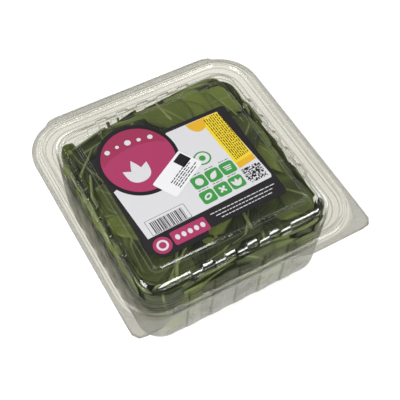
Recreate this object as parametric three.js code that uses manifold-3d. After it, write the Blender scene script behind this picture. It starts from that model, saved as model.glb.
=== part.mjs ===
// A clear hinged pack of spinach leaves: a deep tray and a low lid, formed from one sheet of clear film
// and joined along the back edge, with a heap of leaves inside and a label and a sticker on the lid.
// Millimetres, +Z up. The origin is under the middle of the pack, on the surface that it stands on.
// The front, with its two lifting tabs, faces -Y.
import * as THREE from "three";
import { mergeVertices } from "three/addons/utils/BufferGeometryUtils.js";
import Module from "manifold-3d";

// Film and edges
const film = 0.6;
const packWidth = 185;
const flangeTray = 66.1;
const flangeLid = 67.1;
const cornerSteps = 7;

// Outline of both flanges
const edge = 91.2;
const tabReach = 3.6;
const tabCorner = 6.5;
const tabCurve = 14.5;
const leftTabEnd = -76;
const rightTabEnd = 43;
const backCorner = 32;
const hingeHalf = 67.5;
const hingeReach = 94.8;

// Upright ribs pressed into the walls, in the middle of each side
const domeRibs = { count: 5, pitch: 17.2, width: 8.6, depth: 1.8, flank: 1.5 };
const trayRibs = { count: 5, pitch: 19.5, width: 9.8, depth: 1.6, flank: 1.5 };

// Rings of the film's middle surface, from the centre out
const trayRings = [
  { x: 68.5, front: -71, back: 71, corner: 13, z: film / 2 },
  { x: 72.8, front: -75.3, back: 75.3, corner: 17.5, z: 3, ribs: trayRibs },
  { x: 75.4, front: -77.9, back: 77.9, corner: 20, z: 63, ribs: trayRibs },
  { x: 78.2, front: -80.7, back: 80.7, corner: 21.5, z: 65.2 },
  { x: 83, front: -84, back: 84, corner: 23, z: 65.6 },
  { x: 84.8, front: -85.6, back: 85.6, corner: 24.6, z: 68 },
  { x: 85.7, front: -86.5, back: 86.5, corner: 25.5, z: 68 },
  { x: 87.6, front: -88.4, back: 88.4, corner: 27.4, z: flangeTray },
  { x: packWidth / 2, z: flangeTray, outline: flangeOutline },
];
const lidRings = [
  { x: 59.6, front: -59.3, back: 61.2, corner: 4.2, z: 75.5 },
  { x: 60.4, front: -60.1, back: 62, corner: 5, z: 74.6 },
  { x: 70.6, front: -69.6, back: 71.6, corner: 11, z: 73.7, ribs: domeRibs },
  { x: 73, front: -72, back: 74, corner: 13, z: 68.3, ribs: domeRibs },
  { x: 75.6, front: -75.2, back: 76.4, corner: 15.5, z: 67.9 },
  { x: 77.5, front: -77.6, back: 78.6, corner: 17, z: 67.6 },
  { x: 82.4, front: -83.4, back: 83.4, corner: 22.5, z: 67.4 },
  { x: 84.2, front: -85.2, back: 85.2, corner: 24.3, z: 70.3 },
  { x: 86.4, front: -87.2, back: 87.2, corner: 26.4, z: 70.3 },
  { x: 88.2, front: -88.9, back: 88.9, corner: 28, z: flangeLid },
  { x: packWidth / 2, z: flangeLid, outline: flangeOutline },
];

// Room that the leaves fill, as rings from the floor up, and the line that they stay in front of
const room = [
  { z: 1.4, x: 67, front: -69.5, back: 69.5, corner: 12 },
  { z: 4, x: 71, front: -73.4, back: 73.4, corner: 17 },
  { z: 60, x: 71.6, front: -73.8, back: 73.8, corner: 18 },
  { z: 66, x: 70.6, front: -70.8, back: 72, corner: 14 },
  { z: 72.5, x: 69.2, front: -68.2, back: 70.2, corner: 12 },
  { z: 74, x: 57, front: -56.8, back: 58.6, corner: 5 },
];
const widestLevel = 60;
const gapStart = new THREE.Vector2(-74, 58);
const gapEnd = new THREE.Vector2(-20, 72);

// Leaves and stems, with the range of each random size as its least and greatest value
const seed = 7;
const leafThickness = 0.8;
const leafStations = [0.22, 0.52, 0.82];
const leafRange = { length: [34, 52], width: [23, 32], cup: [-3.5, -1], wave: [0.8, 1.8] };
const topLeaves = { columns: 5, rows: 6, spacing: 25, level: [70.5, 73], tilt: [-0.15, 0.15] };
const sideLeaves = { columns: 4, spacing: 32, inset: 1.5, levels: [17, 42], rise: [0, 8], tilt: [-0.08, 0.08] };
const stemRange = { half: [14, 26], spread: [-55, 55], slope: [-0.75, 0.75], bow: [-4, 4] };
const stemCount = 14;
const stemLevel = 72.5;
const stemRadius = 1.15;
const stemSides = 5;
const stemTaper = 0.3;
const coreTop = 66;
const coreInset = 3.8;
const coreSplits = { across: 8, up: 3 };

// Label and sticker
const labelBase = 75.85;
const labelThickness = 0.25;
const panel = { left: -58, right: 50.5, front: -49, back: 40.2, corner: 3 };
const lobe = { x: -28, y: 25, halfX: 30, halfY: 32 };
const foot = { left: -53.5, right: -14, front: -54.5, back: -44, corner: 5 };
const sticker = { x: -9.5, y: 1, length: 35, width: 20, corner: 1.2, turn: 30 };
const stickerBase = 76.15;
const stickerThickness = 0.15;

const fullTurn = [0, 2 * Math.PI];
const wasm = await Module();
wasm.setup();

function clearFilm() {
  return new THREE.MeshPhysicalMaterial({
    color: 0xe9ece4,
    roughness: 0.06,
    metalness: 0,
    transmission: 0.95,
    transparent: true,
    opacity: 0.35,
  });
}

function plain(color, roughness) {
  return new THREE.MeshStandardMaterial({ color, roughness, metalness: 0 });
}

// The corner centres of a ring, in the order front right, back right, back left, front left
function cornerCentres(ring) {
  const x = ring.x - ring.corner;
  const front = ring.front + ring.corner;
  const back = ring.back - ring.corner;
  return [[x, front], [x, back], [-x, back], [-x, front]];
}

// Where a point lies round a ring: even whole numbers start a side, odd ones the corner after it
function placeRound(ring, x, y) {
  const centres = cornerCentres(ring);
  for (let side = 0; side < 4; side += 1) {
    const angle = (side - 1) * Math.PI / 2;
    const out = [Math.cos(angle), Math.sin(angle)];
    const end = centres[side];
    const start = centres[(side + 3) % 4];
    const along = [-out[1], out[0]];
    const dot = (p, q) => p[0] * q[0] + p[1] * q[1];
    const high = dot([x - end[0], y - end[1]], out);
    const past = dot([x - end[0], y - end[1]], along);
    const before = dot([x - start[0], y - start[1]], along);
    if (high >= 0 && past <= 0 && before >= 0) return 2 * side + before / (before - past);
    if (high >= 0 && past > 0) return 2 * side + 1 + Math.atan2(past, high) / (Math.PI / 2);
  }
  return 0;
}

// Both flanges share one outline: tabs of unequal length in front, a hinge strip behind
function flangeOutline() {
  const half = packWidth / 2;
  const points = [];
  const arc = (x, y, radius, from, to, steps) => {
    for (let i = 0; i <= steps; i += 1) {
      const angle = THREE.MathUtils.degToRad(from + (to - from) * i / steps);
      points.push([x + radius * Math.cos(angle), y + radius * Math.sin(angle)]);
    }
  };
  const slope = (x0, x1, y0, y1) => {
    const steps = 4;
    for (let i = 0; i <= steps; i += 1) {
      const y = y0 + (y1 - y0) * THREE.MathUtils.smoothstep(i / steps, 0, 1);
      points.push([x0 + (x1 - x0) * i / steps, y]);
    }
  };
  const tab = -edge - tabReach;
  const cornerX = half - tabCorner;
  const cornerY = tab + tabCorner;
  const centre = half - backCorner;
  const bevel = THREE.MathUtils.radToDeg(Math.asin((edge - centre) / backCorner));
  arc(-cornerX, cornerY, tabCorner, 180, 270, 4);
  slope(leftTabEnd, leftTabEnd + tabCurve, tab, -edge);
  slope(rightTabEnd - tabCurve, rightTabEnd, -edge, tab);
  arc(cornerX, cornerY, tabCorner, 270, 360, 4);
  arc(centre, centre, backCorner, 0, bevel, cornerSteps);
  points.push([hingeHalf, hingeReach], [-hingeHalf, hingeReach]);
  arc(-centre, centre, backCorner, 180 - bevel, 180, cornerSteps);
  const neighbour = lidRings[lidRings.length - 2];
  return points.map(([x, y]) => ({ x, y, place: placeRound(neighbour, x, y) }));
}

// One ring of points, counter-clockwise, moved outwards by grow
function ringPoints(ring, grow) {
  if (ring.outline) return ring.outline().sort((p, q) => p.place - q.place);
  const centres = cornerCentres(ring);
  const radius = ring.corner + grow;
  const points = [];
  for (let side = 0; side < 4; side += 1) {
    const angle = (side - 1) * Math.PI / 2;
    const out = new THREE.Vector2(Math.cos(angle), Math.sin(angle));
    const along = new THREE.Vector2(-out.y, out.x);
    const end = new THREE.Vector2(...centres[side]);
    const start = new THREE.Vector2(...centres[(side + 3) % 4]);
    const length = end.dot(along) - start.dot(along);
    const level = end.dot(out) + radius;
    for (const { t, depth } of ribSteps(ring.ribs)) {
      const point = out.clone().multiplyScalar(level + depth).addScaledVector(along, t);
      points.push({ x: point.x, y: point.y, place: 2 * side + (t - start.dot(along)) / length });
    }
    for (let i = 0; i <= cornerSteps; i += 1) {
      const turn = angle + i / cornerSteps * Math.PI / 2;
      const place = (2 * side + 1 + i / cornerSteps) % 8;
      points.push({ x: end.x + radius * Math.cos(turn), y: end.y + radius * Math.sin(turn), place });
    }
  }
  return points.sort((p, q) => p.place - q.place);
}

// The steps in and out along one side that make its ribs
function ribSteps(ribs) {
  if (!ribs) return [];
  const steps = [];
  for (let i = 0; i < ribs.count; i += 1) {
    const centre = (i - (ribs.count - 1) / 2) * ribs.pitch;
    const wide = (ribs.width + ribs.flank) / 2;
    const narrow = (ribs.width - ribs.flank) / 2;
    steps.push({ t: centre - wide, depth: 0 }, { t: centre - narrow, depth: ribs.depth });
    steps.push({ t: centre + narrow, depth: ribs.depth }, { t: centre + wide, depth: 0 });
  }
  return steps;
}

// Unit normals of the profile's stretches, mitred where two stretches meet
function profileNormals(rings) {
  const stretches = [new THREE.Vector2(0, 1)];
  for (let i = 1; i < rings.length; i += 1) {
    const run = new THREE.Vector2(rings[i].x - rings[i - 1].x, rings[i].z - rings[i - 1].z);
    stretches.push(new THREE.Vector2(-run.y, run.x).normalize());
  }
  stretches.push(new THREE.Vector2(0, 1));
  return rings.map((ring, i) => {
    const sum = stretches[i].clone().add(stretches[i + 1]);
    return sum.divideScalar(1 + stretches[i].dot(stretches[i + 1]));
  });
}

// Triangles between two rings of unlike point counts, always advancing the ring that lags
function stitch(inner, outer) {
  const triangles = [];
  const place = (ring, i) => ring[i % ring.length].place + 8 * Math.floor(i / ring.length);
  let i = 0;
  let j = 0;
  while (i < inner.length || j < outer.length) {
    const outerNext = i === inner.length || (j < outer.length && place(outer, j + 1) <= place(inner, i + 1));
    const a = inner[i % inner.length].index;
    const b = outer[j % outer.length].index;
    if (outerNext) {
      triangles.push([a, b, outer[(j + 1) % outer.length].index]);
      j += 1;
    } else {
      triangles.push([a, b, inner[(i + 1) % inner.length].index]);
      i += 1;
    }
  }
  return triangles;
}

// A closed thin shell: two skins, half the film to each side of the rings, joined round the rim
function shell(rings) {
  const normals = profileNormals(rings);
  const positions = [];
  const indices = [];
  const skin = (side) => {
    const levels = rings.map((ring, i) => {
      const shift = side * film / 2;
      const z = ring.z + shift * normals[i].y;
      return ringPoints(ring, shift * normals[i].x).map((point) => {
        positions.push(point.x, point.y, z);
        return { place: point.place, index: positions.length / 3 - 1 };
      });
    });
    positions.push(0, 0, rings[0].z + side * film / 2);
    const middle = positions.length / 3 - 1;
    const first = levels[0];
    const faces = first.map((point, i) => [middle, point.index, first[(i + 1) % first.length].index]);
    for (let i = 1; i < levels.length; i += 1) faces.push(...stitch(levels[i - 1], levels[i]));
    for (const face of faces) indices.push(...(side > 0 ? face : face.reverse()));
    return levels[levels.length - 1];
  };
  const top = skin(1);
  const bottom = skin(-1);
  for (let i = 0; i < top.length; i += 1) {
    const next = (i + 1) % top.length;
    indices.push(bottom[i].index, bottom[next].index, top[next].index);
    indices.push(bottom[i].index, top[next].index, top[i].index);
  }
  return geometryFrom(positions, indices);
}

function geometryFrom(positions, indices) {
  const geometry = new THREE.BufferGeometry();
  geometry.setAttribute("position", new THREE.Float32BufferAttribute(positions, 3));
  geometry.setIndex(indices);
  geometry.computeVertexNormals();
  return geometry;
}

function toSolid(geometry) {
  const bare = geometry.clone();
  bare.deleteAttribute("normal");
  bare.deleteAttribute("uv");
  const merged = mergeVertices(bare, 1e-4);
  return new wasm.Manifold(new wasm.Mesh({
    numProp: 3,
    vertProperties: new Float32Array(merged.attributes.position.array),
    triVerts: new Uint32Array(merged.index.array),
  }));
}

function fuse(geometries) {
  return geometries.map(toSolid).reduce((whole, next) => whole.add(next));
}

function toGeometry(solid) {
  const mesh = solid.getMesh();
  return geometryFrom(Array.from(mesh.vertProperties), Array.from(mesh.triVerts));
}

// The largest of the surfaces that a joined solid is made of: hollows that fusing sealed are filled
function outerSurface(geometry) {
  const index = Array.from(geometry.index.array);
  const parent = Array.from({ length: geometry.attributes.position.count }, (unused, i) => i);
  const root = (i) => {
    let at = i;
    while (parent[at] !== at) {
      parent[at] = parent[parent[at]];
      at = parent[at];
    }
    return at;
  };
  for (let i = 0; i < index.length; i += 3) {
    parent[root(index[i])] = root(index[i + 1]);
    parent[root(index[i + 1])] = root(index[i + 2]);
  }
  const groups = new Map();
  for (let i = 0; i < index.length; i += 3) {
    const key = root(index[i]);
    if (!groups.has(key)) groups.set(key, []);
    groups.get(key).push(index[i], index[i + 1], index[i + 2]);
  }
  const largest = [...groups.values()].sort((p, q) => q.length - p.length)[0];
  return mergeVertices(geometryFrom(compact(geometry, largest), largest.map((unused, i) => i)), 1e-5);
}

function compact(geometry, index) {
  const position = geometry.attributes.position;
  return index.flatMap((i) => [position.getX(i), position.getY(i), position.getZ(i)]);
}

// Evenly spread numbers from 0 to 1, the same on every run
function randomSource(start) {
  let state = start;
  return () => {
    state = (state + 0x6d2b79f5) | 0;
    let mixed = Math.imul(state ^ (state >>> 15), 1 | state);
    mixed = (mixed + Math.imul(mixed ^ (mixed >>> 7), 61 | mixed)) ^ mixed;
    return ((mixed ^ (mixed >>> 14)) >>> 0) / 4294967296;
  };
}

function roomAt(z) {
  const level = THREE.MathUtils.clamp(z, room[0].z, room[room.length - 1].z);
  const upper = Math.max(1, room.findIndex((ring) => ring.z >= level));
  const [a, b] = [room[upper - 1], room[upper]];
  const mix = (key) => THREE.MathUtils.mapLinear(level, a.z, b.z, a[key], b[key]);
  return { x: mix("x"), front: mix("front"), back: mix("back"), corner: mix("corner") };
}

// How far a point is outside the room's ring at a height, and the way straight out from there
function beyond(x, y, z) {
  const ring = roomAt(z);
  const middle = (ring.front + ring.back) / 2;
  const over = Math.abs(x) - ring.x + ring.corner;
  const past = Math.abs(y - middle) - (ring.back - ring.front) / 2 + ring.corner;
  const round = Math.hypot(Math.max(over, 0), Math.max(past, 0));
  const distance = round + Math.min(Math.max(over, past), 0) - ring.corner;
  const way = new THREE.Vector2(Math.max(over, 0) * Math.sign(x), Math.max(past, 0) * Math.sign(y - middle));
  return { distance, way: way.normalize() };
}

// Moves a point into the room: in from the walls, in front of the gap, then down under the lid
function keepInside(point, margin) {
  const inside = point.clone();
  const wall = beyond(inside.x, inside.y, Math.min(Math.max(inside.z, room[1].z), widestLevel));
  const push = Math.max(0, wall.distance + margin);
  inside.x -= wall.way.x * push;
  inside.y -= wall.way.y * push;
  const line = gapEnd.clone().sub(gapStart).normalize();
  const gap = (inside.y - gapStart.y) * line.x - (inside.x - gapStart.x) * line.y + margin;
  inside.x += line.y * Math.max(0, gap);
  inside.y -= line.x * Math.max(0, gap);
  let low = widestLevel;
  let high = room[room.length - 1].z;
  for (let i = 0; i < 20; i += 1) {
    const level = (low + high) / 2;
    if (beyond(inside.x, inside.y, level).distance + margin > 0) high = level;
    else low = level;
  }
  inside.z = THREE.MathUtils.clamp(inside.z, room[0].z + 2 * margin, low - margin);
  return inside;
}

// A leaf: a thin wavy solid from stem end to tip, with both faces split into the same triangles
function leafGeometry({ length, width, cup, wave, phase }, matrix) {
  const middle = [[-length / 2, 0, 0]];
  for (const t of leafStations) {
    const half = width / 2 * Math.sin(Math.PI * t ** 0.8);
    for (const side of [-1, 0, 1]) {
      const lift = cup * side * side + wave * Math.sin(phase + 5 * t + 1.5 * side);
      middle.push([(t - 0.5) * length, side * half, lift]);
    }
  }
  middle.push([length / 2, 0, wave * Math.sin(phase + 5)]);
  const last = middle.length - 1;
  const faces = [[0, 1, 2], [0, 2, 3], [last, last - 1, last - 2], [last, last - 2, last - 3]];
  const edgeRight = [0];
  const edgeLeft = [];
  leafStations.forEach((unused, row) => {
    const at = 1 + 3 * row;
    edgeRight.push(at);
    edgeLeft.unshift(at + 2);
    if (row === leafStations.length - 1) return;
    faces.push([at, at + 3, at + 1], [at + 3, at + 4, at + 1]);
    faces.push([at + 1, at + 4, at + 5], [at + 1, at + 5, at + 2]);
  });
  const border = [...edgeRight, last, ...edgeLeft];
  const normal = new THREE.Vector3(0, 0, 1).transformDirection(matrix);
  normal.multiplyScalar(leafThickness / 2);
  const points = middle.map((p) => keepInside(new THREE.Vector3(...p).applyMatrix4(matrix), 0));
  const positions = [];
  for (const point of points) positions.push(...point.clone().add(normal).toArray());
  for (const point of points) positions.push(...point.clone().sub(normal).toArray());
  const count = points.length;
  const indices = [];
  for (const [a, b, c] of faces) indices.push(a, b, c, a + count, c + count, b + count);
  border.forEach((a, i) => {
    const b = border[(i + 1) % border.length];
    indices.push(a, a + count, b + count, a, b + count, b);
  });
  return geometryFrom(positions, indices);
}

// A stem: a tapering round bar along a bowed line
function stemGeometry(start, end, bow) {
  const middle = start.clone().add(end).multiplyScalar(0.5).add(bow);
  const curve = new THREE.QuadraticBezierCurve3(start, middle, end);
  const stations = [0, 0.33, 0.67, 1];
  const positions = [];
  const indices = [];
  const up = new THREE.Vector3(0, 0, 1);
  const across = new THREE.Vector3().crossVectors(end.clone().sub(start).normalize(), up).normalize();
  for (const t of stations) {
    const centre = keepInside(curve.getPoint(t), stemRadius);
    const radius = stemRadius * (1 - stemTaper * t);
    for (let i = 0; i < stemSides; i += 1) {
      const angle = 2 * Math.PI * i / stemSides;
      const point = centre.clone().addScaledVector(across, radius * Math.cos(angle));
      positions.push(...point.addScaledVector(up, radius * Math.sin(angle)).toArray());
    }
  }
  for (let row = 1; row < stations.length; row += 1) {
    for (let i = 0; i < stemSides; i += 1) {
      const next = (i + 1) % stemSides;
      const [a, b] = [(row - 1) * stemSides + i, (row - 1) * stemSides + next];
      indices.push(a, a + stemSides, b, b, a + stemSides, b + stemSides);
    }
  }
  const tail = (stations.length - 1) * stemSides;
  for (let i = 1; i < stemSides - 1; i += 1) {
    indices.push(0, i, i + 1, tail, tail + i + 1, tail + i);
  }
  return geometryFrom(positions, indices);
}

// The heap's core: a lumpy block that fills the tray, low enough for the leaves to lie on it
function coreGeometry() {
  const { across, up } = coreSplits;
  const box = new THREE.BoxGeometry(2, 2, 1, across, across, up);
  box.deleteAttribute("normal");
  box.deleteAttribute("uv");
  const block = mergeVertices(box, 1e-4);
  const position = block.attributes.position;
  for (let i = 0; i < position.count; i += 1) {
    const [x, y, z] = [position.getX(i), position.getY(i), position.getZ(i)];
    const lumps = Math.sin(7 * x + 2 * z) * Math.cos(5 * y + 3 * x) + 0.6 * Math.sin(9 * y - 4 * x);
    const height = z < 0 ? room[0].z : coreTop + lumps;
    const level = THREE.MathUtils.lerp(room[0].z, height, z + 0.5);
    const point = keepInside(new THREE.Vector3(80 * x, 80 * y, level), coreInset - 0.5 * lumps);
    if (z < -0.49) point.z = room[0].z;
    position.setXYZ(i, point.x, point.y, point.z);
  }
  return block;
}

function turned(x, y, z, yaw, pitch, roll) {
  const turn = new THREE.Euler(roll, pitch, yaw, "ZYX");
  return new THREE.Matrix4().makeRotationFromEuler(turn).setPosition(x, y, z);
}

function between(random, [low, high]) {
  return THREE.MathUtils.lerp(low, high, random());
}

function randomLeaf(random) {
  return {
    length: between(random, leafRange.length),
    width: between(random, leafRange.width),
    cup: between(random, leafRange.cup),
    wave: between(random, leafRange.wave),
    phase: between(random, fullTurn),
  };
}

// The places of one row of pieces, evenly spaced and then moved a little
function rowPlace(random, index, count, spacing) {
  return (index - (count - 1) / 2 + between(random, [-0.2, 0.2])) * spacing;
}

function topLeafGeometries(random) {
  const { columns, rows, spacing, level, tilt } = topLeaves;
  const leaves = [];
  for (let row = 0; row < rows; row += 1) {
    for (let column = 0; column < columns; column += 1) {
      const x = rowPlace(random, column, columns, spacing);
      const y = rowPlace(random, row, rows, spacing);
      const z = between(random, level);
      const yaw = between(random, fullTurn);
      const matrix = turned(x, y, z, yaw, between(random, tilt), between(random, tilt));
      leaves.push(leafGeometry(randomLeaf(random), matrix));
    }
  }
  return leaves;
}

// Leaves that stand against the tray's four walls
function sideLeafGeometries(random) {
  const { columns, spacing, inset, levels, rise, tilt } = sideLeaves;
  const leaves = [];
  for (let side = 0; side < 4; side += 1) {
    const wall = roomAt(widestLevel)[side % 2 ? "x" : "back"];
    for (const level of levels) {
      for (let column = 0; column < columns; column += 1) {
        const along = rowPlace(random, column, columns, spacing);
        const matrix = turned(0, 0, 0, side * Math.PI / 2, 0, 0);
        matrix.multiply(turned(along, inset - wall, level + between(random, rise), 0, 0, 0));
        matrix.multiply(turned(0, 0, 0, 0, 0, Math.PI / 2 + between(random, tilt)));
        matrix.multiply(turned(0, 0, 0, between(random, fullTurn), 0, 0));
        leaves.push(leafGeometry(randomLeaf(random), matrix));
      }
    }
  }
  return leaves;
}

function stemGeometries(random) {
  return Array.from({ length: stemCount }, () => {
    const yaw = between(random, fullTurn);
    const half = between(random, stemRange.half);
    const x = between(random, stemRange.spread);
    const y = between(random, stemRange.spread);
    const centre = new THREE.Vector3(x, y, stemLevel);
    const slope = between(random, stemRange.slope);
    const reach = new THREE.Vector3(half * Math.cos(yaw), half * Math.sin(yaw), slope);
    const bow = new THREE.Vector3(-Math.sin(yaw), Math.cos(yaw), 0);
    bow.multiplyScalar(between(random, stemRange.bow));
    return stemGeometry(centre.clone().sub(reach), centre.clone().add(reach), bow);
  });
}

function spinachGeometry() {
  const random = randomSource(seed);
  const pieces = [coreGeometry(), ...topLeafGeometries(random), ...sideLeafGeometries(random)];
  return outerSurface(toGeometry(fuse([...pieces, ...stemGeometries(random)])));
}

function roundedShape({ left, right, front, back, corner }) {
  const shape = new THREE.Shape();
  shape.absarc(right - corner, front + corner, corner, -Math.PI / 2, 0);
  shape.absarc(right - corner, back - corner, corner, 0, Math.PI / 2);
  shape.absarc(left + corner, back - corner, corner, Math.PI / 2, Math.PI);
  shape.absarc(left + corner, front + corner, corner, Math.PI, 1.5 * Math.PI);
  return shape;
}

function sheet(shape, depth, curveSegments) {
  return new THREE.ExtrudeGeometry(shape, { depth, bevelEnabled: false, curveSegments });
}

// The label: a panel with a round lobe at its back left and a short foot at its front left
function labelGeometry() {
  const round = new THREE.Shape().absellipse(lobe.x, lobe.y, lobe.halfX, lobe.halfY, 0, 2 * Math.PI);
  const pieces = [
    sheet(roundedShape(panel), labelThickness, 4),
    sheet(round, labelThickness, 24),
    sheet(roundedShape(foot), labelThickness, 5),
  ];
  return toGeometry(fuse(pieces)).translate(0, 0, labelBase);
}

function stickerGeometry() {
  const { length, width, corner, turn, x, y } = sticker;
  const half = { left: -length / 2, right: length / 2, front: -width / 2, back: width / 2, corner };
  const plate = sheet(roundedShape(half), stickerThickness, 3);
  return plate.rotateZ(THREE.MathUtils.degToRad(turn)).translate(x, y, stickerBase);
}

function named(name, geometry, material) {
  const mesh = new THREE.Mesh(geometry, material);
  mesh.name = name;
  return mesh;
}

const pack = new THREE.Group();
pack.add(
  named("tray", shell(trayRings), clearFilm()),
  named("lid", shell(lidRings), clearFilm()),
  named("spinach", spinachGeometry(), plain(0x4f6b2f, 0.6)),
  named("label", labelGeometry(), plain(0xb94a78, 0.4)),
  named("sticker", stickerGeometry(), plain(0xefefef, 0.5)),
);

export default pack;
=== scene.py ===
import math

import bpy
import numpy as np
from mathutils import Matrix


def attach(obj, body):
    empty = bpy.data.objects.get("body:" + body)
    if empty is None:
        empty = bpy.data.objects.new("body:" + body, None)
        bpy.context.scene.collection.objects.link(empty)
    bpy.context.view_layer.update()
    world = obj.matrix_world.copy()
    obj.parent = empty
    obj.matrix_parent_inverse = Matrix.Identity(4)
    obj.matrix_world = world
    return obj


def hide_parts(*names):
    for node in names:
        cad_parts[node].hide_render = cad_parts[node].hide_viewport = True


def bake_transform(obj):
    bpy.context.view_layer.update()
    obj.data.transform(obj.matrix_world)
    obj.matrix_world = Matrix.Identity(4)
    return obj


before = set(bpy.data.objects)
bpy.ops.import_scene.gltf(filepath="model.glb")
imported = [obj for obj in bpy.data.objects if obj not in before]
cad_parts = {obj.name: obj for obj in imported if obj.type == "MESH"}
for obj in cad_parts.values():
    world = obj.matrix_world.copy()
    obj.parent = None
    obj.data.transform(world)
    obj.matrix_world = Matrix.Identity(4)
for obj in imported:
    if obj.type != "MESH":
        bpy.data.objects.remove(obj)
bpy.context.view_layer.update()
scene = bpy.context.scene
millimetre = 0.001
chance = np.random.default_rng(23)
print("frame loaded:", ", ".join(sorted(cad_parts)))


# mesh helpers, all in millimetres

def easeStep(t):
    # 3t^2 - 2t^3, held between 0 and 1
    t = np.clip(t, 0, 1)
    return t * t * (3 - 2 * t)


def makePiece(name, points, faces, smooth=True):
    # a mesh object at the origin, its points turned from millimetres to metres
    mesh = bpy.data.meshes.new(name)
    mesh.from_pydata((np.asarray(points).reshape(-1, 3) * millimetre).tolist(), [], faces)
    mesh.update()
    mesh.polygons.foreach_set("use_smooth", [smooth] * len(mesh.polygons))
    piece = bpy.data.objects.new(name, mesh)
    scene.collection.objects.link(piece)
    return piece


def gridFaces(rows, columns, wrap):
    # four corners of every cell of a grid, joined round its second direction where it wraps
    row, column = np.meshgrid(np.arange(rows - 1), np.arange(columns if wrap else columns - 1), indexing="ij")
    after = (column + 1) % columns
    low, high = row * columns, (row + 1) * columns
    return np.stack([low + column, high + column, high + after, low + after], -1).reshape(-1, 4)


def cappedFaces(rows, around, turned=False):
    # the cells of a grid closed round its second direction and one face at each end, turned over if asked
    faces = gridFaces(rows, around, True).tolist()
    faces.append(list(range(around))[::-1])
    faces.append([(rows - 1) * around + i for i in range(around)])
    return [face[::-1] for face in faces] if turned else faces


def unit(v):
    # each vector divided by its length
    return v / np.maximum(np.linalg.norm(v, axis=-1, keepdims=True), 1e-12)


def roundRect(place, x, front, back, corner):
    # place runs 0 to 8: even whole numbers start a straight side, odd ones the round corner after it
    side = np.floor(place / 2).astype(int) % 4
    part = np.mod(place, 2)
    before = (side + 3) % 4

    def centre(which):
        # the middle of the round corner at the end of a side
        atBack = (which == 1) | (which == 2)
        return np.where(which < 2, 1, -1) * (x - corner), np.where(atBack, back - corner, front + corner)

    endX, endY = centre(side)
    startX, startY = centre(before)
    along = np.minimum(part, 1)
    turn = (side - 1 + np.maximum(part - 1, 0)) * math.pi / 2
    px = startX + (endX - startX) * along + corner * np.cos(turn)
    py = startY + (endY - startY) * along + corner * np.sin(turn)
    return px, py


def placeRound(x, y, ring):
    # the inverse of roundRect for points outside the ring's corner centres
    half, front, back, corner = ring
    centres = np.array([(half - corner, front + corner), (half - corner, back - corner),
                        (corner - half, back - corner), (corner - half, front + corner)])
    place = np.zeros_like(x)
    for side in range(3, -1, -1):
        angle = (side - 1) * math.pi / 2
        out = np.array([math.cos(angle), math.sin(angle)])
        along = np.array([-out[1], out[0]])
        fromEnd = np.stack([x, y], -1) - centres[side]
        fromStart = np.stack([x, y], -1) - centres[(side + 3) % 4]
        high, past, gone = fromEnd @ out, fromEnd @ along, fromStart @ along
        straight = (high >= 0) & (past <= 0) & (gone >= 0)
        turned = (high >= 0) & (past > 0)
        place = np.where(straight, 2 * side + gone / np.maximum(gone - past, 1e-9), place)
        place = np.where(turned & ~straight, 2 * side + 1 + np.arctan2(past, high) / (math.pi / 2), place)
    return place


# the clear film

packEdge = {
    "half": 92.5, "edge": 91.2, "tabReach": 3.6, "tabCorner": 6.5, "tabCurve": 14.5,
    "leftTabEnd": -76, "rightTabEnd": 43, "backCorner": 32, "hingeHalf": 67.5, "hingeReach": 94.8,
}

# each ring: half width, front, back, corner radius, height, share of the ribs, reach of the rounding
trayForm = {
    "film": 0.6,
    "rings": [
        (68.5, -71, 71, 13, 0.3, 0, 0), (72.8, -75.3, 75.3, 17.5, 3, 0, 3),
        (73.1, -75.6, 75.6, 17.7, 9, 1, 2), (75.2, -77.7, 77.7, 19.8, 59, 1, 2),
        (75.4, -77.9, 77.9, 20, 63, 0, 1.4), (78.2, -80.7, 80.7, 21.5, 65.2, 0, 1.2),
        (83, -84, 84, 23, 65.6, 0, 0.8), (84.6, -85.4, 85.4, 24.4, 68, 0, 0.9),
        (85.9, -86.7, 86.7, 25.7, 68, 0, 0.7), (87.6, -88.4, 88.4, 27.4, 66.1, 0, 0.6),
        (88.8, -89.6, 89.6, 28.6, 66.1, 0, 0),
    ],
    "ribs": {"count": 5, "pitch": 19.5, "width": 9.8, "depth": 1.6, "flank": 1.5, "leftFlank": 1.5},
    "highlightEdges": (),
}
lidForm = {
    "film": 0.6,
    "rings": [
        (58.6, -58.3, 60.2, 3.4, 75.5, 0, 0), (59, -58.7, 60.6, 3.7, 75.5, 0, 0.3),
        (60.4, -60.1, 62, 5, 74.3, 0, 0.4), (62, -61.6, 63.6, 5.8, 74.15, 0, 0.5),
        (68.4, -67.4, 69.4, 9.3, 73.75, 0, 0.8), (70.1, -69.1, 71.1, 10.8, 73.5, 1, 0.7),
        (72.3, -71.3, 73.3, 12.4, 70.9, 1, 0.75), (73.2, -72.2, 74.2, 13.2, 68.3, 1, 0.5),
        (75.6, -75.2, 76.4, 15.5, 67.9, 0, 0.5), (82.3, -83.3, 83.3, 22.4, 67.5, 0, 0.6),
        (83.9, -84.9, 84.9, 24, 70.3, 0, 0.7), (86.7, -87.5, 87.5, 26.7, 70.3, 0, 0.7),
        (88.2, -88.9, 88.9, 28, 67.1, 0, 0.4), (89.4, -90, 90, 29, 67.1, 0, 0),
    ],
    "ribs": {"count": 5, "pitch": 17.2, "width": 8.6, "depth": 1.8, "flank": 1.0, "leftFlank": 1.2},
    "highlightEdges": (1, 3),
}
filmDetail = {
    "ribSpan": 46, "between": 21, "flankRoom": 2.2, "ends": 3, "corner": 13, "rounding": 5, "longStretch": 9,
    "flange": (0.3, 0.65, 0.88), "middle": (0.06, 0.3, 0.6, 0.85), "wave": 0.028, "farthestReach": 0.45,
    "flankPoints": (-0.8, -0.5, -0.25, 0, 0.25, 0.5, 0.8), "arcPoints": 15, "slopePoints": 17,
}
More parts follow.
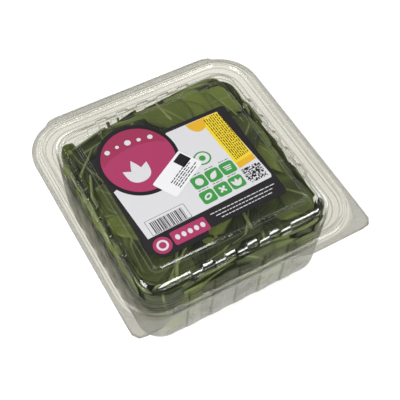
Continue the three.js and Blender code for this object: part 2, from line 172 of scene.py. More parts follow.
# how strongly the material marks, with painted shade, a bend, a pale bend, the flange, its rim and the front
# ribs' flanks; a pale bend also gets a pale painted highlight
filmMarks = {"bend": (1, 0), "highlightBend": (0.3, 1), "highlightMilk": 1.4, "flange": 0.2, "rim": 1.8,
             "frontFlankShade": 2}


def flangeOutline():
    # arcs at the tab corners and back corners, smooth slopes from the tabs to the front edge, a hinge strip
    form = packEdge

    def arc(x, y, radius, start, end):
        # a middle plus the radius times cos and sin
        turn = np.radians(np.linspace(start, end, filmDetail["arcPoints"]))
        return np.stack([x + radius * np.cos(turn), y + radius * np.sin(turn)], -1)

    def slope(x0, x1, y0, y1):
        # even steps in x, and y eased from one level to the other
        t = np.linspace(0, 1, filmDetail["slopePoints"])
        return np.stack([x0 + (x1 - x0) * t, y0 + (y1 - y0) * easeStep(t)], -1)

    tab = -form["edge"] - form["tabReach"]
    cornerX, cornerY = form["half"] - form["tabCorner"], tab + form["tabCorner"]
    centre = form["half"] - form["backCorner"]
    bevel = math.degrees(math.asin((form["edge"] - centre) / form["backCorner"]))
    runs = [
        arc(-cornerX, cornerY, form["tabCorner"], 180, 270),
        slope(form["leftTabEnd"], form["leftTabEnd"] + form["tabCurve"], tab, -form["edge"]),
        slope(form["rightTabEnd"] - form["tabCurve"], form["rightTabEnd"], -form["edge"], tab),
        arc(cornerX, cornerY, form["tabCorner"], 270, 360),
        arc(centre, centre, form["backCorner"], 0, bevel),
        [(form["hingeHalf"], form["hingeReach"]), (-form["hingeHalf"], form["hingeReach"])],
        arc(-centre, centre, form["backCorner"], 180 - bevel, 180),
    ]
    return np.concatenate(runs)


def roundedProfile(rings, highlightEdges):
    # each corner b between a and c becomes (1-t)^2 a + 2t(1-t) b + t^2 c, and long straight stretches are
    # split; the last two columns mark the bends for painted shade and the pale ones among them for a painted
    # highlight
    rings = np.column_stack([np.array(rings, float), np.zeros(len(rings))])
    span = np.hypot(np.diff(rings[:, 0]), np.diff(rings[:, 4]))
    t = np.linspace(0, 1, filmDetail["rounding"])[:, None]
    reaches = rings[:, 6].copy()
    rings[:, 6] = 0
    rows = [rings[:1]]
    for i in range(1, len(rings) - 1):
        reach = reaches[i]
        a = rings[i] + (rings[i - 1] - rings[i]) * min(filmDetail["farthestReach"], reach / span[i - 1])
        c = rings[i] + (rings[i + 1] - rings[i]) * min(filmDetail["farthestReach"], reach / span[i])
        gap = np.hypot(a[0] - rows[-1][-1, 0], a[4] - rows[-1][-1, 4])
        extra = int(gap / filmDetail["longStretch"])
        if extra:
            share = np.linspace(0, 1, extra + 2)[1:-1, None]
            rows.append(rows[-1][-1] + (a - rows[-1][-1]) * share)
        curve = (1 - t) ** 2 * a + 2 * t * (1 - t) * rings[i] + t * t * c
        curve[len(t) // 2, 6:] = filmMarks["highlightBend" if i in highlightEdges else "bend"]
        rows.append(curve)
    rows.append(rings[-1:])
    return np.concatenate(rows)


def ribCentres(ribs):
    # even places along a side, either side of its middle
    return (np.arange(ribs["count"]) - (ribs["count"] - 1) / 2) * ribs["pitch"]


def ribDepth(t, ribs, side):
    # upright ribs with sloping flanks, centred on a side; the left side's flanks may be softer
    away = np.abs(t[..., None] - ribCentres(ribs)).min(-1)
    flank = np.where(side == 3, ribs["leftFlank"], ribs["flank"])
    return ribs["depth"] * easeStep(((ribs["width"] + flank) / 2 - away) / flank)


def sideRun(ribs, flank):
    # even steps along a side, except near a rib's edge, where seven points cross its flank
    edges = (ribCentres(ribs)[:, None] + np.array([-0.5, 0.5]) * ribs["width"]).reshape(-1, 1)
    across = np.array(filmDetail["flankPoints"]) * flank
    even = np.linspace(-filmDetail["ribSpan"], filmDetail["ribSpan"], filmDetail["between"])
    kept = even[np.abs(even[:, None] - edges.T).min(1) > filmDetail["flankRoom"]]
    return np.sort(np.concatenate([(edges + across).ravel(), kept]))


def ringGrid(rows, ribs):
    # one closed ring of points for each row: sides are sampled finely at the rib flanks, corners by angle
    span = filmDetail["ribSpan"]
    ends = np.linspace(0, 1, filmDetail["ends"], endpoint=False)
    corner = np.linspace(0, 1, filmDetail["corner"], endpoint=False)
    sides, kinds, values = [], [], []
    for side in range(4):
        middle = sideRun(ribs, ribs["leftFlank" if side == 3 else "flank"])
        for kind, run in enumerate([ends, middle, ends + 0.5 / filmDetail["ends"], corner]):
            sides.append(np.full(len(run), side))
            kinds.append(np.full(len(run), kind))
            values.append(run)
    side, kind, value = np.concatenate(sides), np.concatenate(kinds), np.concatenate(values)
    x, front, back, radius, z, share = [rows[:, [k]] for k in range(6)]
    upright = side % 2 == 1
    low = np.where(upright, front + radius, radius - x)
    high = np.where(upright, back - radius, x - radius)
    low, high = np.where(side == 2, radius - x, low), np.where(side == 2, x - radius, high)
    low, high = np.where(side == 3, radius - back, low), np.where(side == 3, -front - radius, high)
    before = low + (-span - low) * value
    beyond = span + (high - span) * value
    t = np.where(kind == 0, before, np.where(kind == 1, value, beyond))
    part = np.where(kind == 3, 1 + value, (t - low) / (high - low))
    px, py = roundRect(2 * side + part, x, front, back, radius)
    depth = np.where(kind == 3, 0, ribDepth(t, ribs, side))
    rib = depth * share
    turn = (side - 1) * math.pi / 2
    grid = np.stack([px + rib * np.cos(turn), py + rib * np.sin(turn), np.broadcast_to(z, px.shape)], -1)
    # painted shade marks on the rib flanks, doubled on the front side, together with the rows' bend marks
    flanks = np.where(kind == 3, 0, 1 - np.abs(2 * depth / ribs["depth"] - 1)) * share
    flanks = flanks * np.where(side == 0, filmMarks["frontFlankShade"], 1)
    return grid, (2 * side + part)[-1], np.maximum(flanks, rows[:, 6:7])


def ringNormals(grid):
    # the cross product of the way out and the way round, each the mean of both neighbours' directions
    step = unit(np.diff(grid, axis=0))
    out = unit(np.concatenate([step[:1], step[:-1] + step[1:], step[-1:]]))
    ahead = unit(np.roll(grid, -1, 1) - grid)
    return unit(np.cross(out, ahead + np.roll(ahead, 1, 1))), out


def filmPiece(name, form):
    # a grid from the centre out to the flange's edge, moved along its normals by a broad wave and half of a
    # finer one, then given its thickness and a round rim
    rows = roundedProfile(form["rings"], form["highlightEdges"])
    grid, place, creaseShade = ringGrid(rows, form["ribs"])
    outline = flangeOutline()
    places = placeRound(outline[:, 0], outline[:, 1], rows[-1, :4])
    order = np.argsort(places)
    edgeX = np.interp(place, places[order], outline[order, 0], period=8)
    edgeY = np.interp(place, places[order], outline[order, 1], period=8)
    last = grid[-1]
    rim = np.stack([edgeX, edgeY, last[:, 2]], -1)
    half = form["film"] / 2
    short = 1 - half / np.linalg.norm(rim - last, axis=1)
    flange = [last + (rim - last) * share for share in filmDetail["flange"]]
    flange.append(last + (rim - last) * short[:, None])
    middle = [grid[0] * (share, share, 1) for share in filmDetail["middle"]]
    grid = np.concatenate([middle, grid, flange])
    around = len(place)
    # painted shade marks: bends and flanks from the rings, a little on the flange, strongly on the rim
    creaseShade = np.concatenate([
        np.zeros((len(middle), around)), creaseShade,
        np.full((len(flange) - 1, around), filmMarks["flange"]), np.full((1, around), filmMarks["rim"]),
    ])
    creaseShade = np.concatenate([creaseShade, np.full((3, around), filmMarks["rim"]), creaseShade[::-1]])
    # a milky flange and rim, and pale bends whose milk is a painted highlight
    milkAndHighlight = np.zeros(creaseShade.shape)
    milkAndHighlight[len(middle):len(middle) + len(rows)] = filmMarks["highlightMilk"] * rows[:, 7:]
    milkAndHighlight[len(grid) - len(flange):len(grid) + 3 + len(flange)] = 1
    normals = ringNormals(grid)[0]
    x, y, z = grid[..., 0], grid[..., 1], grid[..., 2]
    wave = np.sin(0.21 * x + 0.6) * np.sin(0.17 * y + 1.1) + 0.5 * np.sin(0.43 * x - 0.31 * y + 0.2 * z)
    grid = grid + normals * (filmDetail["wave"] * wave)[..., None]
    normals, out = ringNormals(grid)
    bend = np.radians([45, 90, 135])[:, None, None]
    edge = grid[-1] + half * (normals[-1] * np.cos(bend) + out[-1] * np.sin(bend))
    skin = np.concatenate([grid + normals * half, edge, (grid - normals * half)[::-1]])
    count = len(skin)
    points = np.concatenate([skin.reshape(-1, 3), [skin[0].mean(0)], [skin[-1].mean(0)]])
    faces = gridFaces(count, around, True).tolist()
    j = np.arange(around)
    k = (j + 1) % around
    total = count * around
    lastRow = (count - 1) * around
    faces += np.stack([np.full(around, total), j, k], -1).tolist()
    faces += np.stack([np.full(around, total + 1), lastRow + k, lastRow + j], -1).tolist()
    piece = makePiece(name, points, faces)
    for key, values in (("creaseShade", creaseShade), ("milkAndHighlight", milkAndHighlight)):
        spread = np.concatenate([values.ravel(), [0, 0]])
        piece.data.attributes.new(key, "FLOAT", "POINT").data.foreach_set("value", spread)
    return piece


trayFilm = filmPiece("trayFilm", trayForm)
lidFilm = filmPiece("lidFilm", lidForm)
print("film pressed:", len(trayFilm.data.polygons) + len(lidFilm.data.polygons), "faces")

hingeForm = {"half": 67.2, "reach": 94.8, "low": 66.1, "high": 67.1, "film": 0.3, "steps": 45, "turns": 9}


def hingeStrip(form):
    # a half ring bent over the hinge's axis, carried along the back edge
    middle, radius = (form["low"] + form["high"]) / 2, (form["high"] - form["low"]) / 2
    turn = np.radians(np.linspace(-90, 90, form["turns"]))
    bend = np.stack([np.cos(turn), np.sin(turn)], -1)
    section = np.concatenate([bend * (radius + form["film"] / 2), (bend * (radius - form["film"] / 2))[::-1]])
    x = np.linspace(-form["half"], form["half"], form["steps"])
    points = np.zeros((len(x), len(section), 3))
    points[..., 0] = x[:, None]
    points[..., 1] = form["reach"] + section[:, 0]
    points[..., 2] = middle + section[:, 1]
    return makePiece("hingeWeb", points, cappedFaces(len(x), len(section), turned=True))


hingeWeb = hingeStrip(hingeForm)

# the heap of leaves

heapRoom = {
    "wall": {"low": (71.9, -74.4, 74.4, 17.6), "high": (74.3, -76.8, 76.8, 19.8), "levels": (4, 60)},
    "plateau": (57, -56.8, 58.6, 5), "ceilingAt": (0, 11.4, 13.4, 14.8), "ceiling": (74.3, 72.7, 67, 60),
    "lidRoom": 0.35, "gap": ((-74, 58), (-20, 72)), "gapMargin": 0.4,
    "tuckTop": 4.5, "tuckRun": 3, "tuck": 3.2, "middle": 40, "leastCorner": 2,
}
leafForm = {"along": 19, "across": 9, "thick": 0.36, "widest": 0.72, "fullness": 0.85, "least": 0.03,
            "edgeWaves": (0.05, 0.03), "sideBow": 0.06, "ribDip": 0.9, "ribWidth": 0.16}
standingForm = {"cup": -2.0, "ripple": 0.7, "bend": -1.2}
# the top heap's last listed amount makes blades paler towards the back right, which is painted light
topHeap = {"count": 84, "length": (38, 60), "width": (26, 40), "cup": (-7, 3), "ripple": (0.6, 2.2),
           "bend": (-6, 3), "start": 54, "cell": 2.5, "tries": 10, "air": 1.3, "settle": 80,
           "reach": (3, 12), "stalkReach": 11.6, "pull": 0.86, "farthest": 14.6, "paintedBackLight": 0.0048,
           "acrossPlaces": (-66, 66), "alongPlaces": (-66, 68), "field": 152, "rough": 2}
sideHeap = {"count": 128, "length": (34, 56), "width": (24, 36), "cup": (-2.8, 1.6), "ripple": (0.3, 1.0),
            "bend": (-2.4, 2), "start": -7, "cell": 2.5, "tries": 10, "air": 0.75, "settle": 62,
            "reach": (0, 0), "upPlaces": (8, 66), "levels": (2.4, 65), "field": 66, "rough": 1.5}
pileForm = {"doubt": (0, 1.2), "slack": (0, 0.9), "give": 0.5, "weights": (0.4, 0.15)}
stemForm = {"share": 0.2, "tiedLength": (14, 40), "loose": 4, "length": (28, 62), "radius": (0.9, 1.3),
            "sides": 8, "along": 12, "bow": (-4.5, 4.5), "settle": 70, "give": 0.4, "rise": 0.35,
            "sink": 0.2, "swell": (0.78, 0.3), "endShare": 0.55, "tip": 0.3}
# the stalks that stand out: start, end, bow and radius; then two upright ends behind the heap
clearStalks = [((9, 69), (9, 47), 2, 1.4), ((-51, 53), (-70, 33), -1, 1.1),
               ((-18, -40), (-56, -68), 2, 1.2), ((-35, -42), (-47, -70), -2, 1.1),
               ((17, -37), (16, -60), -1.5, 1.2), ((50, 62), (63, 24), -5, 0.9)]
uprights = [((-27, 72.6, 52), (-29, 74.2, 65), 1.4), ((-19.6, 72.8, 54), (-20.6, 74, 65.4), 1.0)]
# blades that stand at the wall: middle, length, width, way along, way across
wallBlades = [((-67.3, 50, 62.4), 34, 17, (0.04, -0.99, 0.04), (0.74, 0.08, 0.67)),
              ((-68.6, 27, 60.8), 30, 14, (-0.02, -0.99, -0.10), (0.76, 0.0, 0.65)),
              ((-68.2, 2, 61.2), 34, 15, (0.03, -0.99, 0.08), (0.74, 0.0, 0.67)),
              ((-68.4, -26, 60.6), 32, 14, (-0.02, -0.99, -0.05), (0.76, 0.0, 0.65)),
              ((-61.5, 62.5, 58), 24, 16, (0.55, -0.35, -0.75), (0.75, 0.55, 0.3))]


def keepFront(points, margin):
    # points behind the line of the gap move straight back onto it
    start, end = np.array(heapRoom["gap"], float)
    way = (end - start) / np.linalg.norm(end - start)
    over = (points[..., 1] - start[1]) * way[0] - (points[..., 0] - start[0]) * way[1] + margin
    over = np.maximum(over, 0)
    moved = points.copy()
    moved[..., 0] += way[1] * over
    moved[..., 1] -= way[0] * over
    return moved


def beyondRing(x, y, ring):
    # distance outside a rounded rectangle, negative inside it, and the way out
    half, front, back, corner = ring
    middle = (front + back) / 2
    over = np.abs(x) - half + corner
    past = np.abs(y - middle) - (back - front) / 2 + corner
    wayX, wayY = np.maximum(over, 0) * np.sign(x), np.maximum(past, 0) * np.sign(y - middle)
    distance = np.hypot(wayX, wayY) + np.minimum(np.maximum(over, past), 0) - corner
    size = np.maximum(np.hypot(wayX, wayY), 1e-9)
    return distance, wayX / size, wayY / size


def wallRing(z, inset):
    # the rounded rectangle inside the tray's wall at a height, less an inset and a tuck near the floor
    low, high = heapRoom["wall"]["low"], heapRoom["wall"]["high"]
    start, end = heapRoom["wall"]["levels"]
    share = np.clip((z - start) / (end - start), 0, 1)
    x, front, back, corner = [a + (b - a) * share for a, b in zip(low, high)]
    floorTuck = heapRoom["tuck"] * np.clip((heapRoom["tuckTop"] - z) / heapRoom["tuckRun"], 0, 1) ** 2
    inset = inset + floorTuck
    corner = np.maximum(corner - inset, heapRoom["leastCorner"])
    return x - inset, front + inset, back - inset, corner


def wallPoint(s, z, out):
    # a point by its length round the wall, its height and how far out it stands
    x, front, back, corner = wallRing(np.float64(heapRoom["middle"]), 0)
    sides = [2 * (x - corner), math.pi / 2 * corner, back - front - 2 * corner, math.pi / 2 * corner] * 2
    stops = np.concatenate([[0], np.cumsum(sides)])
    place = np.interp(np.mod(s, stops[-1]), stops, np.arange(9))
    px, py = roundRect(np.minimum(place, 7.999), *wallRing(z, -out))
    return np.stack([px, py, z], -1), stops[-1]


def topCeiling(x, y):
    # the room under the lid falls off with the distance outside its raised panel
    away = beyondRing(x, y, heapRoom["plateau"])[0]
    return np.interp(away, heapRoom["ceilingAt"], heapRoom["ceiling"]) - heapRoom["lidRoom"]


def bladeShape(length, width, cup, ripple, bend, phase):
    # half width = W/2 sin(pi u^widest)^fullness; height = cup v^2 + bend (2u-1)^2, less a dip along the
    # midrib, with waves that grow to the edge
    form = leafForm
    u = np.linspace(0, 1, form["along"])[:, None]
    v = np.linspace(-1, 1, form["across"])[None, :]
    half = width / 2 * np.maximum(np.sin(math.pi * u ** form["widest"]), form["least"]) ** form["fullness"]
    longWave, shortWave = form["edgeWaves"]
    edge = 1 + longWave * np.sin(9 * u + phase) + shortWave * np.sin(17 * u - 2 * phase)
    x = (u - 0.5) * length + 0 * v
    y = half * v * edge + form["sideBow"] * length * np.sin(math.pi * u) * np.sin(phase)
    z = cup * v ** 2 * np.sin(math.pi * u) + bend * (2 * u - 1) ** 2
    z = z - form["ribDip"] * np.exp(-(v / form["ribWidth"]) ** 2)
    z = z + ripple * np.abs(v) ** 1.5 * np.sin(13 * u + phase + 2 * v)
    z = z + 0.4 * ripple * np.sin(6 * u + 3 * v + phase)
    return np.stack([x, y, z], -1)


def turnFlat(points, yaw):
    # x cos - y sin and x sin + y cos, with the height kept
    c, s = math.cos(yaw), math.sin(yaw)
    x, y = points[..., 0], points[..., 1]
    return np.stack([x * c - y * s, x * s + y * c, points[..., 2]], -1)


def cellsOf(heap, points):
    # the cell of the height field under each point
    i = np.floor((points[..., 0] - heap["low"][0]) / heap["cell"]).astype(int)
    j = np.floor((points[..., 1] - heap["low"][1]) / heap["cell"]).astype(int)
    size = heap["heights"].shape
    i = i % size[0] if heap["wrap"] else np.clip(i, 0, size[0] - 1)
    return i, np.clip(j, 0, size[1] - 1)


def calm(values):
    # each value becomes a weighed mean of itself and its four neighbours
    own, near = pileForm["weights"]
    wide = np.pad(values, 1, mode="edge")
    return own * values + near * (wide[2:, 1:-1] + wide[:-2, 1:-1] + wide[1:-1, 2:] + wide[1:-1, :-2])


def layDown(heap, blade, air, settle):
    # the blade keeps its own shape where it can, rests on what lies under it and stays under the ceiling
    i, j = cellsOf(heap, blade)
    under = heap["heights"][i, j] + air
    base = np.percentile(under - blade[..., 2], settle)
    height = np.maximum(under, base + blade[..., 2])
    for _ in range(2):
        height = np.maximum(calm(height), under - pileForm["give"])
    roof = heap["ceiling"](blade[..., 0], blade[..., 1]) - heap["slack"]
    height = np.minimum(height, roof)
    laid = blade.copy()
    laid[..., 2] = height
    np.maximum.at(heap["heights"], (i, j), height)
    return laid


def pileUp(heap, form, choosePlace, clampPlace):
    # every blade tries some places and takes the lowest; some get a stalk that runs on from their base
    blades, stalks = [], []
    for _ in range(form["count"]):
        draw = {key: chance.uniform(*form[key]) for key in ("length", "width", "cup", "ripple", "bend")}
        shape = bladeShape(phase=chance.uniform(0, 2 * math.pi), **draw)
        best = None
        heap["reach"] = chance.uniform(*form["reach"])
        for _ in range(form["tries"]):
            a, b, yaw = choosePlace()
            trial = clampPlace(turnFlat(shape, yaw) + (a, b, 0))
            i, j = cellsOf(heap, trial)
            level = heap["heights"][i, j].mean() + chance.uniform(*pileForm["doubt"])
            if best is None or level < best[0]:
                best = (level, trial)
        heap["slack"] = chance.uniform(*pileForm["slack"])
        laid = layDown(heap, best[1], form["air"], form["settle"])
        blades.append(laid)
        if chance.random() < stemForm["share"]:
            base = laid[0].mean(0)
            way = base - laid[4].mean(0)
            length, bow, radius = [chance.uniform(*stemForm[key]) for key in ("tiedLength", "bow", "radius")]
            yaw = math.atan2(way[1], way[0])
            stalks.append(stalkLine(heap, base, yaw, length, clampPlace, True, bow, radius))
    return np.array(blades), stalks


def stalkLine(heap, base, yaw, length, clampPlace, tied, bow, radius):
    # a bowed line that lies on the heap; a tied one starts at the height of its blade's base
    t = np.linspace(0, 1, stemForm["along"])
    line = np.stack([t * length, bow * t * t, 0 * t], -1)
    line = clampPlace(turnFlat(line, yaw) + (base[0], base[1], 0))
    i, j = cellsOf(heap, line)
    under = heap["heights"][i, j] + radius
    height = np.full(len(t), np.percentile(under, stemForm["settle"]))
    height = np.maximum(height, under - stemForm["give"])
    for _ in range(3):
        height = np.convolve(np.pad(height, 1, mode="edge"), [0.25, 0.5, 0.25], "valid")
    if tied:
        height = base[2] + (height - base[2]) * easeStep(t / stemForm["rise"])
    roof = heap["ceiling"](line[:, 0], line[:, 1]) - radius + stemForm["sink"]
    line[:, 2] = np.minimum(height, roof)
    np.maximum.at(heap["heights"], (i, j), line[:, 2] + radius)
    return line, radius


def clampTop(points):
    # points past the reach beyond the raised panel are drawn back towards it, and stay off the gap
    distance, wayX, wayY = beyondRing(points[..., 0], points[..., 1], heapRoom["plateau"])
    push = np.maximum(distance - topField["reach"], 0) * topHeap["pull"]
    push = push + np.maximum(distance - push - topHeap["farthest"], 0)
    moved = points.copy()
    moved[..., 0] -= wayX * push
    moved[..., 1] -= wayY * push
    return keepFront(moved, heapRoom["gapMargin"])


def clampSide(points):
    # points stay between the floor and the rim
    moved = points.copy()
    moved[..., 1] = np.clip(moved[..., 1], *sideHeap["levels"])
    return moved


def topPlace():
    # a place over the tray and a turn
    across, along = topHeap["acrossPlaces"], topHeap["alongPlaces"]
    return chance.uniform(*across), chance.uniform(*along), chance.uniform(0, 2 * math.pi)


wallLength = wallPoint(np.float64(0), np.float64(heapRoom["middle"]), np.float64(0))[1]


def sidePlace():
    # a place round the wall and up it, and a turn
    up = sideHeap["upPlaces"]
    return chance.uniform(0, wallLength), chance.uniform(*up), chance.uniform(0, 2 * math.pi)


topCells = (int(topHeap["field"] / topHeap["cell"]),) * 2
topField = {"heights": topHeap["start"] + chance.uniform(0, topHeap["rough"], topCells),
            "low": (-topHeap["field"] / 2, -topHeap["field"] / 2), "cell": topHeap["cell"],
            "wrap": False, "ceiling": topCeiling}
sideCells = (int(wallLength / sideHeap["cell"]), int(sideHeap["field"] / sideHeap["cell"]))
sideField = {"heights": sideHeap["start"] + chance.uniform(0, sideHeap["rough"], sideCells), "low": (0, 0),
             "cell": wallLength / sideCells[0], "wrap": True, "ceiling": lambda s, z: np.zeros_like(s)}
sideBlades, sideStalks = pileUp(sideField, sideHeap, sidePlace, clampSide)
topBlades, topStalks = pileUp(topField, topHeap, topPlace, clampTop)
topField["reach"] = topHeap["stalkReach"]
for _ in range(stemForm["loose"]):
    a, b, yaw = topPlace()
    length, bow, radius = [chance.uniform(*stemForm[key]) for key in ("length", "bow", "radius")]
    topStalks.append(stalkLine(topField, (a, b, 0), yaw, length, clampTop, False, bow, radius))
for start, end, bow, radius in clearStalks:
    run = np.subtract(end, start)
    yaw = math.atan2(run[1], run[0])
    topStalks.append(stalkLine(topField, start, yaw, math.hypot(*run), clampTop, False, bow, radius))
for start, end, radius in uprights:
    topStalks.append((np.linspace(start, end, stemForm["along"]), radius))


def standingBlade(middle, length, width, along, across):
    # the blade's axes are turned to the way along, the way across made square to it, and their cross product
    along = unit(np.array(along))
    across = unit(np.array(across) - along * (along @ np.array(across)))
    blade = bladeShape(length, width, phase=2.0 + 0.1 * length, **standingForm)
    return np.array(middle) + blade @ np.stack([along, across, np.cross(along, across)])


def ontoWall(points):
    # a heap laid flat along the wall's length is wrapped round the wall
    wrapped = wallPoint(points[..., 0], points[..., 1], points[..., 2])[0]
    return keepFront(wrapped, heapRoom["gapMargin"])


def leafPiece(name, blades, tones):
    # two faces half a thickness either side of each blade, joined round its border, with a tone for each,
    # partly painted light
    step = unit(np.gradient(blades, axis=1))
    over = unit(np.gradient(blades, axis=2))
    normal = unit(np.cross(step, over)) * leafForm["thick"] / 2
    count, along, across = blades.shape[:3]
    points = np.stack([blades + normal, blades - normal], 1)
    size = along * across
    cells = gridFaces(along, across, False)
    index = np.arange(size).reshape(along, across)
    border = np.concatenate([index[:-1, 0], index[-1, :-1], index[:0:-1, -1], index[0, :0:-1]])
    after = np.roll(border, -1)
    wall = np.stack([border, border + size, after + size, after], -1)
    one = np.concatenate([cells, (cells + size)[:, ::-1], wall])
    shift = np.arange(count)[:, None, None] * 2 * size
    piece = makePiece(name, points, (one + shift).reshape(-1, 4).tolist())
    u = np.broadcast_to(np.linspace(0, 1, along)[:, None], (along, across))
    v = np.broadcast_to(np.linspace(-1, 1, across)[None, :], (along, across))
    uv = np.stack([u, v * 0.5 + 0.5], -1).reshape(1, size, 2)
    uv = np.broadcast_to(uv, (2 * count, size, 2)).reshape(-1, 2)
    loops = np.zeros(len(piece.data.loops), int)
    piece.data.loops.foreach_get("vertex_index", loops)
    piece.data.uv_layers.new(name="leaf").data.foreach_set("uv", uv[loops].ravel())
    toneAndLight = np.repeat(tones, 2 * size)
    piece.data.attributes.new("toneAndLight", "FLOAT", "POINT").data.foreach_set("value", toneAndLight)
    return piece


def stemPiece(name, paths, radii):
    # a ring carried along each path, its radius growing evenly, narrower at both ends, each closed by a point
    paths, radii = np.array(paths), np.array(radii)
    count, along = paths.shape[:2]
    tangent = unit(np.gradient(paths, axis=1))
    across = unit(np.cross(tangent, np.broadcast_to([0.02, 0.03, 1.0], tangent.shape)))
    up = np.cross(across, tangent)
    turn = np.arange(stemForm["sides"]) * 2 * math.pi / stemForm["sides"]
    t = np.linspace(0, 1, along)
    least, gain = stemForm["swell"]
    thick = radii[:, None] * (least + gain * t) * np.where((t == 0) | (t == 1), stemForm["endShare"], 1)
    ring = across[:, :, None] * np.cos(turn)[:, None] + up[:, :, None] * np.sin(turn)[:, None]
    points = paths[:, :, None] + ring * thick[:, :, None, None]
    poke = stemForm["tip"] * radii[:, None]
    tips = np.stack([paths[:, 0] - tangent[:, 0] * poke, paths[:, -1] + tangent[:, -1] * poke], 1)
    sides = stemForm["sides"]
    size = along * sides
    allPoints = np.concatenate([points.reshape(count, size, 3), tips], 1)
    quads = gridFaces(along, sides, True)[:, ::-1]
    i = np.arange(sides)
    j = (i + 1) % sides
    last = size - sides
    capStart = np.stack([i, j, np.full(sides, size)], -1)
    capEnd = np.stack([last + j, last + i, np.full(sides, size + 1)], -1)
    faces = []
    for n in range(count):
        for part in (quads, capStart, capEnd):
            faces += (part + n * (size + 2)).tolist()
    return makePiece(name, allPoints, faces)


spots = topBlades.mean((1, 2))
# painted light: blades get paler towards the back right corner, as if more light fell there
paintedBackLight = topHeap["paintedBackLight"] * np.maximum(spots[:, 0] + spots[:, 1], 0)
topTonesAndLight = np.clip(chance.uniform(0, 1, len(topBlades)) + paintedBackLight, 0, 1)
leafBlades = leafPiece("leafBlades", topBlades, topTonesAndLight)
wallLeaves = np.array([standingBlade(*blade) for blade in wallBlades])
# painted light: the blades standing at the wall get the brightest tones, lifting leaves that little lamp
# light reaches
sideTonesAndLight = np.concatenate([chance.uniform(0.25, 1, len(sideBlades)), np.linspace(1.1, 0.9, len(wallLeaves))])
leafSides = leafPiece("leafSides", np.concatenate([ontoWall(sideBlades), wallLeaves]), sideTonesAndLight)
lines = [line for line, radius in topStalks] + [ontoWall(line) for line, radius in sideStalks]
leafStems = stemPiece("leafStems", lines, [radius for line, radius in topStalks + sideStalks])


# painted shade: a dark lumpy block fills the heap's inside, coloured as the deep shade between leaves
coreForm = {
    "levels": (1.7, 1.7, 1.7, 3, 12, 22, 32, 42, 52, 58, 61, 61.5, 61.5),
    "inset": (71, 40, 9, 8.5, 7.6, 7.6, 7.6, 7.6, 7.6, 8, 11, 40, 71),
    "half": 72, "around": 96, "lump": 0.006, "gapMargin": 6,
}


def coreGrid():
    # rounded rings from the floor to the top, drawn in from the wall, each swollen by 1 + lump sin x cos y
    levels, inset = [np.array(coreForm[key])[:, None] for key in ("levels", "inset")]
    place = np.linspace(0, 8, coreForm["around"], endpoint=False)[None, :]
    z = np.broadcast_to(levels, (len(levels), coreForm["around"]))
    x, front, back, corner = wallRing(z, 0)
    scale = 1 - inset / coreForm["half"]
    px, py = roundRect(place, x * scale, front * scale, back * scale, corner * scale)
    lump = 1 + coreForm["lump"] * np.sin(px / 6 + z / 7) * np.cos(py / 5)
    return keepFront(np.stack([px * lump, py * lump, z], -1), coreForm["gapMargin"])


core = coreGrid()
leafCoreShade = makePiece("leafCoreShade", core, cappedFaces(*core.shape[:2]))
print("leaves laid:", len(topBlades) + len(sideBlades), "blades,", len(lines), "stalks")

# label and sticker

# boxes: left, right, front, back, corner radius; the lobe is an ellipse: middle and half sizes
labelForm = {
    "base": 75.85, "top": 76.06, "step": 0.012,
    "centre": (-20, 0), "rays": 360, "farthest": 95, "steps": 1901,
    "panel": (-58, 50.5, -49, 40.2, 3), "lobe": (-28, 25, 30, 32), "foot": (-53.5, -14, -54.5, -44, 5),
}
inks = {
    "black": (0.012, 0.010, 0.012), "white": (0.68, 0.68, 0.70), "magenta": (0.40, 0.040, 0.125),
    "plum": (0.33, 0.030, 0.092), "yellow": (0.82, 0.62, 0.03), "orange": (0.74, 0.42, 0.025),
    "green": (0.05, 0.30, 0.06), "brown": (0.06, 0.045, 0.01),
}


def insideBox(x, y, box):
    # inside a rectangle with round corners: no farther from its inner rectangle than the corner's radius
    left, right, low, high, corner = box
    dx = np.maximum(np.maximum(left + corner - x, x - right + corner), 0)
    dy = np.maximum(np.maximum(low + corner - y, y - high + corner), 0)
    return np.hypot(dx, dy) <= corner


def labelOutline():
    # the farthest point inside any of the three shapes, along rays from a centre
    form = labelForm
    turn = np.linspace(0, 2 * math.pi, form["rays"], endpoint=False)[:, None]
    reach = np.linspace(0, form["farthest"], form["steps"])[None, :]
    middleX, middleY = form["centre"]
    x = middleX + reach * np.cos(turn)
    y = middleY + reach * np.sin(turn)
    lobeX, lobeY, halfX, halfY = form["lobe"]
    inside = insideBox(x, y, form["panel"]) | insideBox(x, y, form["foot"])
    inside |= ((x - lobeX) / halfX) ** 2 + ((y - lobeY) / halfY) ** 2 <= 1
    far = np.where(inside, reach, 0).max(1)
    return np.stack([middleX + far * np.cos(turn[:, 0]), middleY + far * np.sin(turn[:, 0])], -1)


def sheetPiece(name, outline, base, top):
    # an outline raised into a thin sheet
    count = len(outline)
    points = np.zeros((2, count, 3))
    points[..., :2] = outline
    points[0, :, 2], points[1, :, 2] = base, top
    i = np.arange(count)
    j = (i + 1) % count
    faces = np.stack([i, j, j + count, i + count], -1).tolist()
    faces += [list(range(count))[::-1], list(range(count, 2 * count))]
    return makePiece(name, points, faces, smooth=False)


def placed(points, x, y, turn):
    # a flat shape turned by an angle in degrees and moved to its place
    c, s = math.cos(math.radians(turn)), math.sin(math.radians(turn))
    return np.stack([x + points[:, 0] * c - points[:, 1] * s, y + points[:, 0] * s + points[:, 1] * c], -1)


def ellipse(x, y, halfX, halfY, turn=0.0, count=48, start=0, end=360):
    # half sizes times cos and sin, from a start to an end angle
    t = np.radians(np.linspace(start, end, count, endpoint=end - start < 360))
    return placed(np.stack([halfX * np.cos(t), halfY * np.sin(t)], -1), x, y, turn)


